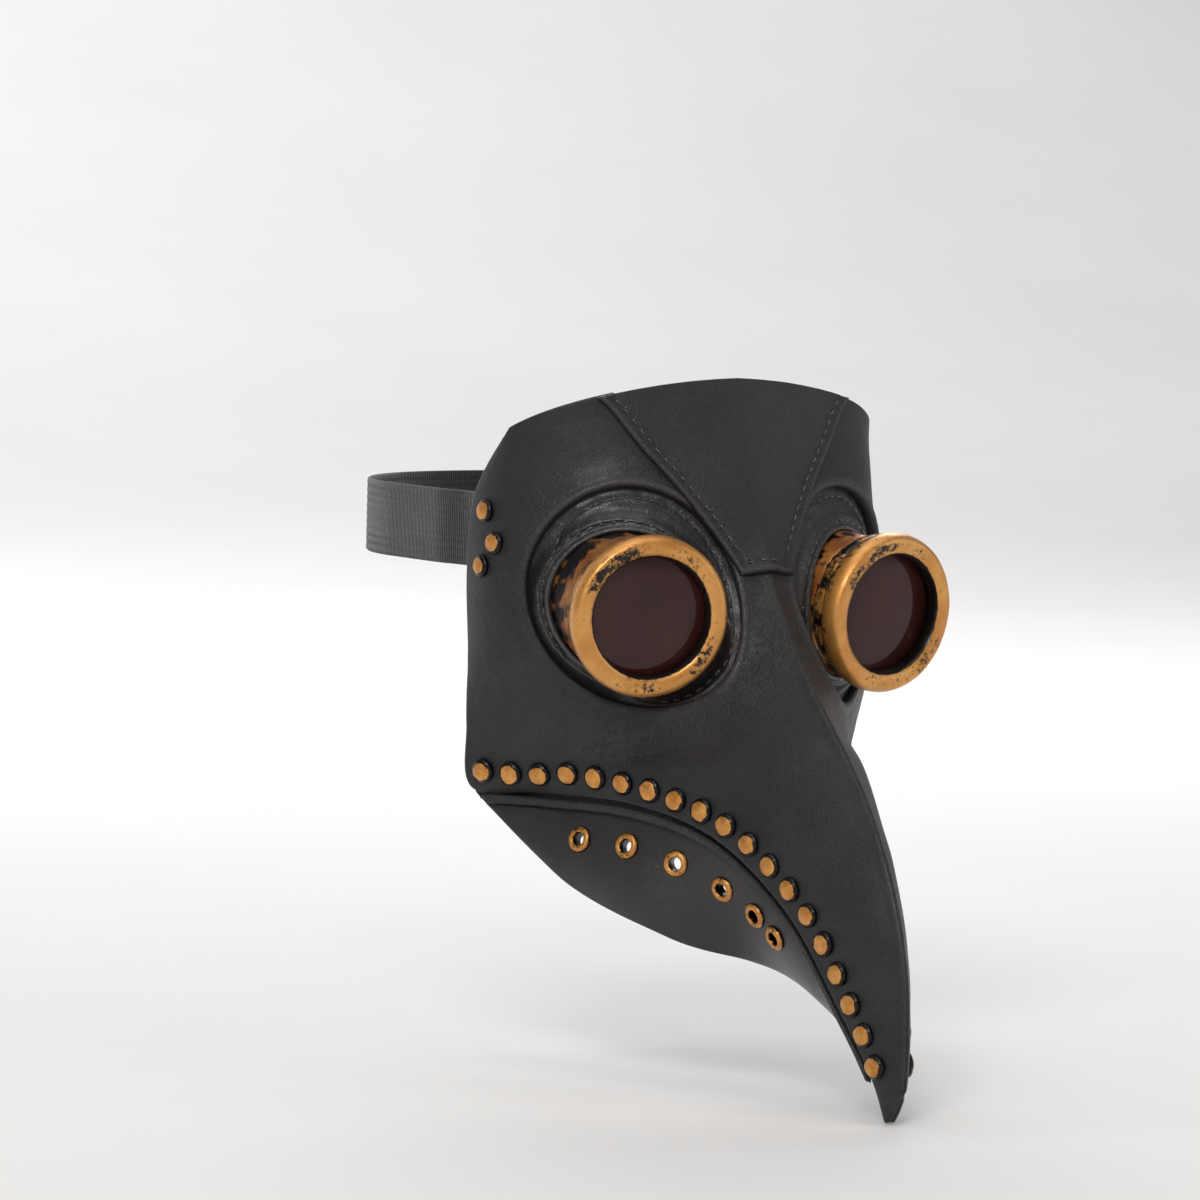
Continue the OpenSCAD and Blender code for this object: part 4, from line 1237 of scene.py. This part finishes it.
def buildBarrel(side, s):
    outer, opening, top = eye["barrel"] / mm, eye["opening"] / mm, eye["gasket"] / mm
    tilt = np.array([eyeAcross @ eyePlane, eyeUp @ eyePlane, eyeAxis @ eyePlane])

    def foot(a, r):
        return (-s["clear"] - r * (math.cos(a) * tilt[0] + math.sin(a) * tilt[1])) / tilt[2]

    shares = [0, 0.02] + list(np.linspace(0.06, 0.94, s["rings"])) + [0.98, 1.0]
    profile = [(opening + 0.3, 0.0), (outer - 0.4, 0.0)]
    profile += [(outer, t) for t in shares] + [(outer - 0.5, 1.0), (opening + 0.4, 1.0)]
    profile += [(opening, t) for t in np.linspace(0.97, 0.03, 12)]
    seed = 5.0 if side == "Right" else 17.0

    def warp(a, r, t, j):
        low = foot(a, r)
        z = low + (top - low) * t
        n = noise.fractal(Vector((math.cos(a) * 2.6 + seed, math.sin(a) * 2.6, z * 0.16)), 1.0, 2.0, 3)
        outside = 1 < j < 2 + len(shares)
        ring = -0.22 * math.exp(-((z - 7.6) / 0.35) ** 2) - 0.18 * math.exp(-((z - 8.8) / 0.35) ** 2)
        dent = (s["dent"] * n * float(ease((8.6 - z) / 4)) + ring) if outside else 0
        return (r + min(dent, 0.12)) * mm, z * mm

    def grimeAndShade(a, r, t, j):
        low = foot(a, r)
        z = low + (top - low) * t
        streak = noise.fractal(Vector((math.cos(a) * 5 + seed, math.sin(a) * 5, z * 0.10)), 1.0, 2.0, 3)
        # the inside of the barrel and its foot where it sinks under the socket leather are painted dark as
        # shade; the streaks are patina and the grooves are dark joints
        inside = j >= 4 + len(shares)
        return 0.95 if inside else float(np.clip(0.14 + 0.70 * streak + 0.35 * (z < 0) * ease(-z / 3)
                                                 + 0.5 * bump(z - 7.6, 0.6), 0, 1))

    tube = revolve(eyeAxes, profile, s["steps"], grimeAndShade, warp, closed=True)
    obj = mergeParts("eyepieceBarrel" + side, [tube], finish["copperBarrel"], side == "Right")
    ride(obj, "mask", "copper_barrel", "eyepiece_barrel_" + side.lower())


def buildLens(side, s):
    base = eye["gasket"] / mm + 0.8
    profile = [(0.02, base)] + [(r, base) for r in np.linspace(1, s["radius"] - 0.3, s["rings"])]
    profile += [(s["radius"], base + 0.3), (s["radius"], base + s["thickness"] - 1.3)]
    for t in np.linspace(0.985, 0.001, s["rings"]):
        profile.append((s["radius"] * t, base + s["thickness"] - 0.95 + s["crown"] * (1 - t * t)))

    disc = revolve(eyeAxes, [(r * mm, h * mm) for r, h in profile], s["steps"], caps=(0, -1))
    obj = mergeParts("smokedLens" + side, [disc], finish["lens"], side == "Right")
    ride(obj, "lens_" + side.lower(), "smoked_lens", "lens_" + side.lower())


strapSettings = {"width": 25.0, "thickness": 1.9, "height": 27.0, "pivot": 58.5, "loopRadius": 74.1,
                 "back": 172.0, "ribs": 9, "rib": 1.55, "points": 56}


def buildStrap(s):
    xFar, centreY = s["loopRadius"], s["back"] - s["loopRadius"] - 1.0
    half = []
    for v in np.linspace(0.815, 1.0, 16):
        p = faceAt(np.array(s["rib"]), np.array(v)) / mm
        n = normalAt(faceAt, np.array(s["rib"]), np.array(v))
        q = p - n * (mask["under"] / mm + 1.0)
        half.append([q[0], q[1]])
    lastX, lastY = half[-1]
    for y in np.linspace(lastY + 2, centreY, 30):
        t = float(ease((y - 46) / 20))
        half.append([lastX + (xFar - lastX) * t, y])
    for a in np.linspace(0, 90, 46)[1:]:
        half.append([xFar * math.cos(math.radians(a)), centreY + xFar * math.sin(math.radians(a))])
    half = np.array(half)
    plan = np.vstack([half, (half * [-1, 1])[::-1][1:]]) * mm
    points = np.column_stack([plan, np.full(len(plan), s["height"] * mm)])
    points = resample(points, 1.6 * mm)
    tangent = np.gradient(points, axis=0)
    tangent /= np.linalg.norm(tangent, axis=1, keepdims=True)
    up = np.tile([0, 0, 1.0], (len(points), 1))
    out = np.cross(tangent, up)
    w, half = s["width"] / 2, s["thickness"] / 2
    shape = []
    for k in range(s["points"]):
        z = w - 2 * w * k / (s["points"] - 1)
        ribbed = 0.80 + 0.20 * abs(math.sin(math.pi * s["ribs"] * (z + w) / (2 * w)))
        shape.append([z, half * ribbed * min(1, 0.45 + (w - abs(z)) / 0.8)])
    shape += [[z, -t] for z, t in reversed(shape)]
    shape = np.array(shape) * mm
    values = {"along": np.repeat(lengths(points), len(shape)), "across": np.tile(shape[:, 0], len(points))}
    obj = sweep("elasticStrap", points, up, out, shape, [finish["elastic"]], values=values)
    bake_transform(obj)
    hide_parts("head_strap", "strap_end_left", "strap_end_right")


foreheadStitches(buildForehead(foreheadSettings), stitchSettings)
print("forehead panel done")
for side in ("Left", "Right"):
    buildSide(side, sideSettings)
    buildBrowRoll(side, browSettings)
    buildSocket(side, socketSettings)
    buildJaw(side, jawSettings)
    buildWelt(side, weltSettings)
    buildHardware(side)
    buildBezel(side, bezelSettings)
    buildBarrel(side, barrelSettings)
    buildLens(side, lensSettings)
    print(side, "half done")
buildStrap(strapSettings)
print("strap done")

cadFinish = {"stud_burrs": "plainBrass", "eyelet_washers": "plainBrass", "rivet_burrs": "plainBrass",
             "barrel_clamp": "copperBarrel", "lens_gasket": "gasket"}
for name, obj in nodes.items():
    key = next((cadFinish[k] for k in cadFinish if name.startswith(k)), None)
    if key:
        obj.data.materials.clear()
        obj.data.materials.append(finish[key])

# metres and watts; the floor curves up into the backdrop behind
studio = {"floorGap": 0.0002, "rows": 40, "wide": 9, "near": -6, "bend": 2, "curve": 4.0, "worldGrey": 0.26}
lamps = {
    "keyLight": {"place": (-1.5, -1.9, 1.5), "aim": (0, -0.03, -0.02), "size": (0.9, 0.7), "power": 34,
                 "tint": (1, 0.97, 0.93)},
    "fillLight": {"place": (1.9, -1.5, 0.7), "aim": (0, -0.03, -0.03), "size": (1.6, 1.6), "power": 9,
                  "tint": (0.94, 0.97, 1)},
    "rimLight": {"place": (0.9, 1.7, 1.3), "aim": (0, 0, 0), "size": (1.4, 0.8), "power": 18,
                 "tint": (1, 1, 1)},
    "topLight": {"place": (-0.2, -0.2, 2.2), "aim": (0, -0.03, 0), "size": (1.6, 1.6), "power": 15,
                 "tint": (1, 1, 1)},
    "backdropLight": {"place": (0, 2.2, 3.6), "aim": (0, 6, 0.8), "size": (4.0, 1.0), "power": 160,
                      "tint": (1, 1, 1)}}


def areaLight(name, s):
    data = bpy.data.lights.new(name, "AREA")
    data.shape, data.energy, data.color = "RECTANGLE", s["power"], s["tint"]
    data.size, data.size_y = s["size"]
    obj = bpy.data.objects.new(name, data)
    obj.location = s["place"]
    obj.rotation_mode = "QUATERNION"
    obj.rotation_quaternion = (Vector(s["aim"]) - Vector(s["place"])).to_track_quat("-Z", "Y")
    bpy.context.scene.collection.objects.link(obj)


def buildStudio(s):
    level = cadLow.z - s["floorGap"]
    verts, faces = [], []
    for i in range(s["rows"]):
        t = i / (s["rows"] - 1)
        if t < 0.5:
            y, z = s["near"] + 2 * (s["bend"] - s["near"]) * t, 0.0
        else:
            a = (t - 0.5) * math.pi
            y, z = s["bend"] + s["curve"] * math.sin(a), s["curve"] * (1 - math.cos(a))
        verts += [(x, y, level + z) for x in (-s["wide"], 0, s["wide"])]
    for i in range(s["rows"] - 1):
        for a in (i * 3, i * 3 + 1):
            faces.append([a, a + 1, a + 4, a + 3])
    floor = finishMesh("studioFloor", verts, faces, [finish["floor"]])
    for name, lamp in lamps.items():
        areaLight(name, lamp)
    world = bpy.data.worlds.new("studioAir")
    world.use_nodes = True
    grey = s["worldGrey"]
    world.node_tree.nodes["Background"].inputs[0].default_value = (grey, grey, grey * 1.02, 1)
    bpy.context.scene.world = world
    bpy.context.scene.view_settings.view_transform = "Standard"


buildStudio(studio)
print("studio done")
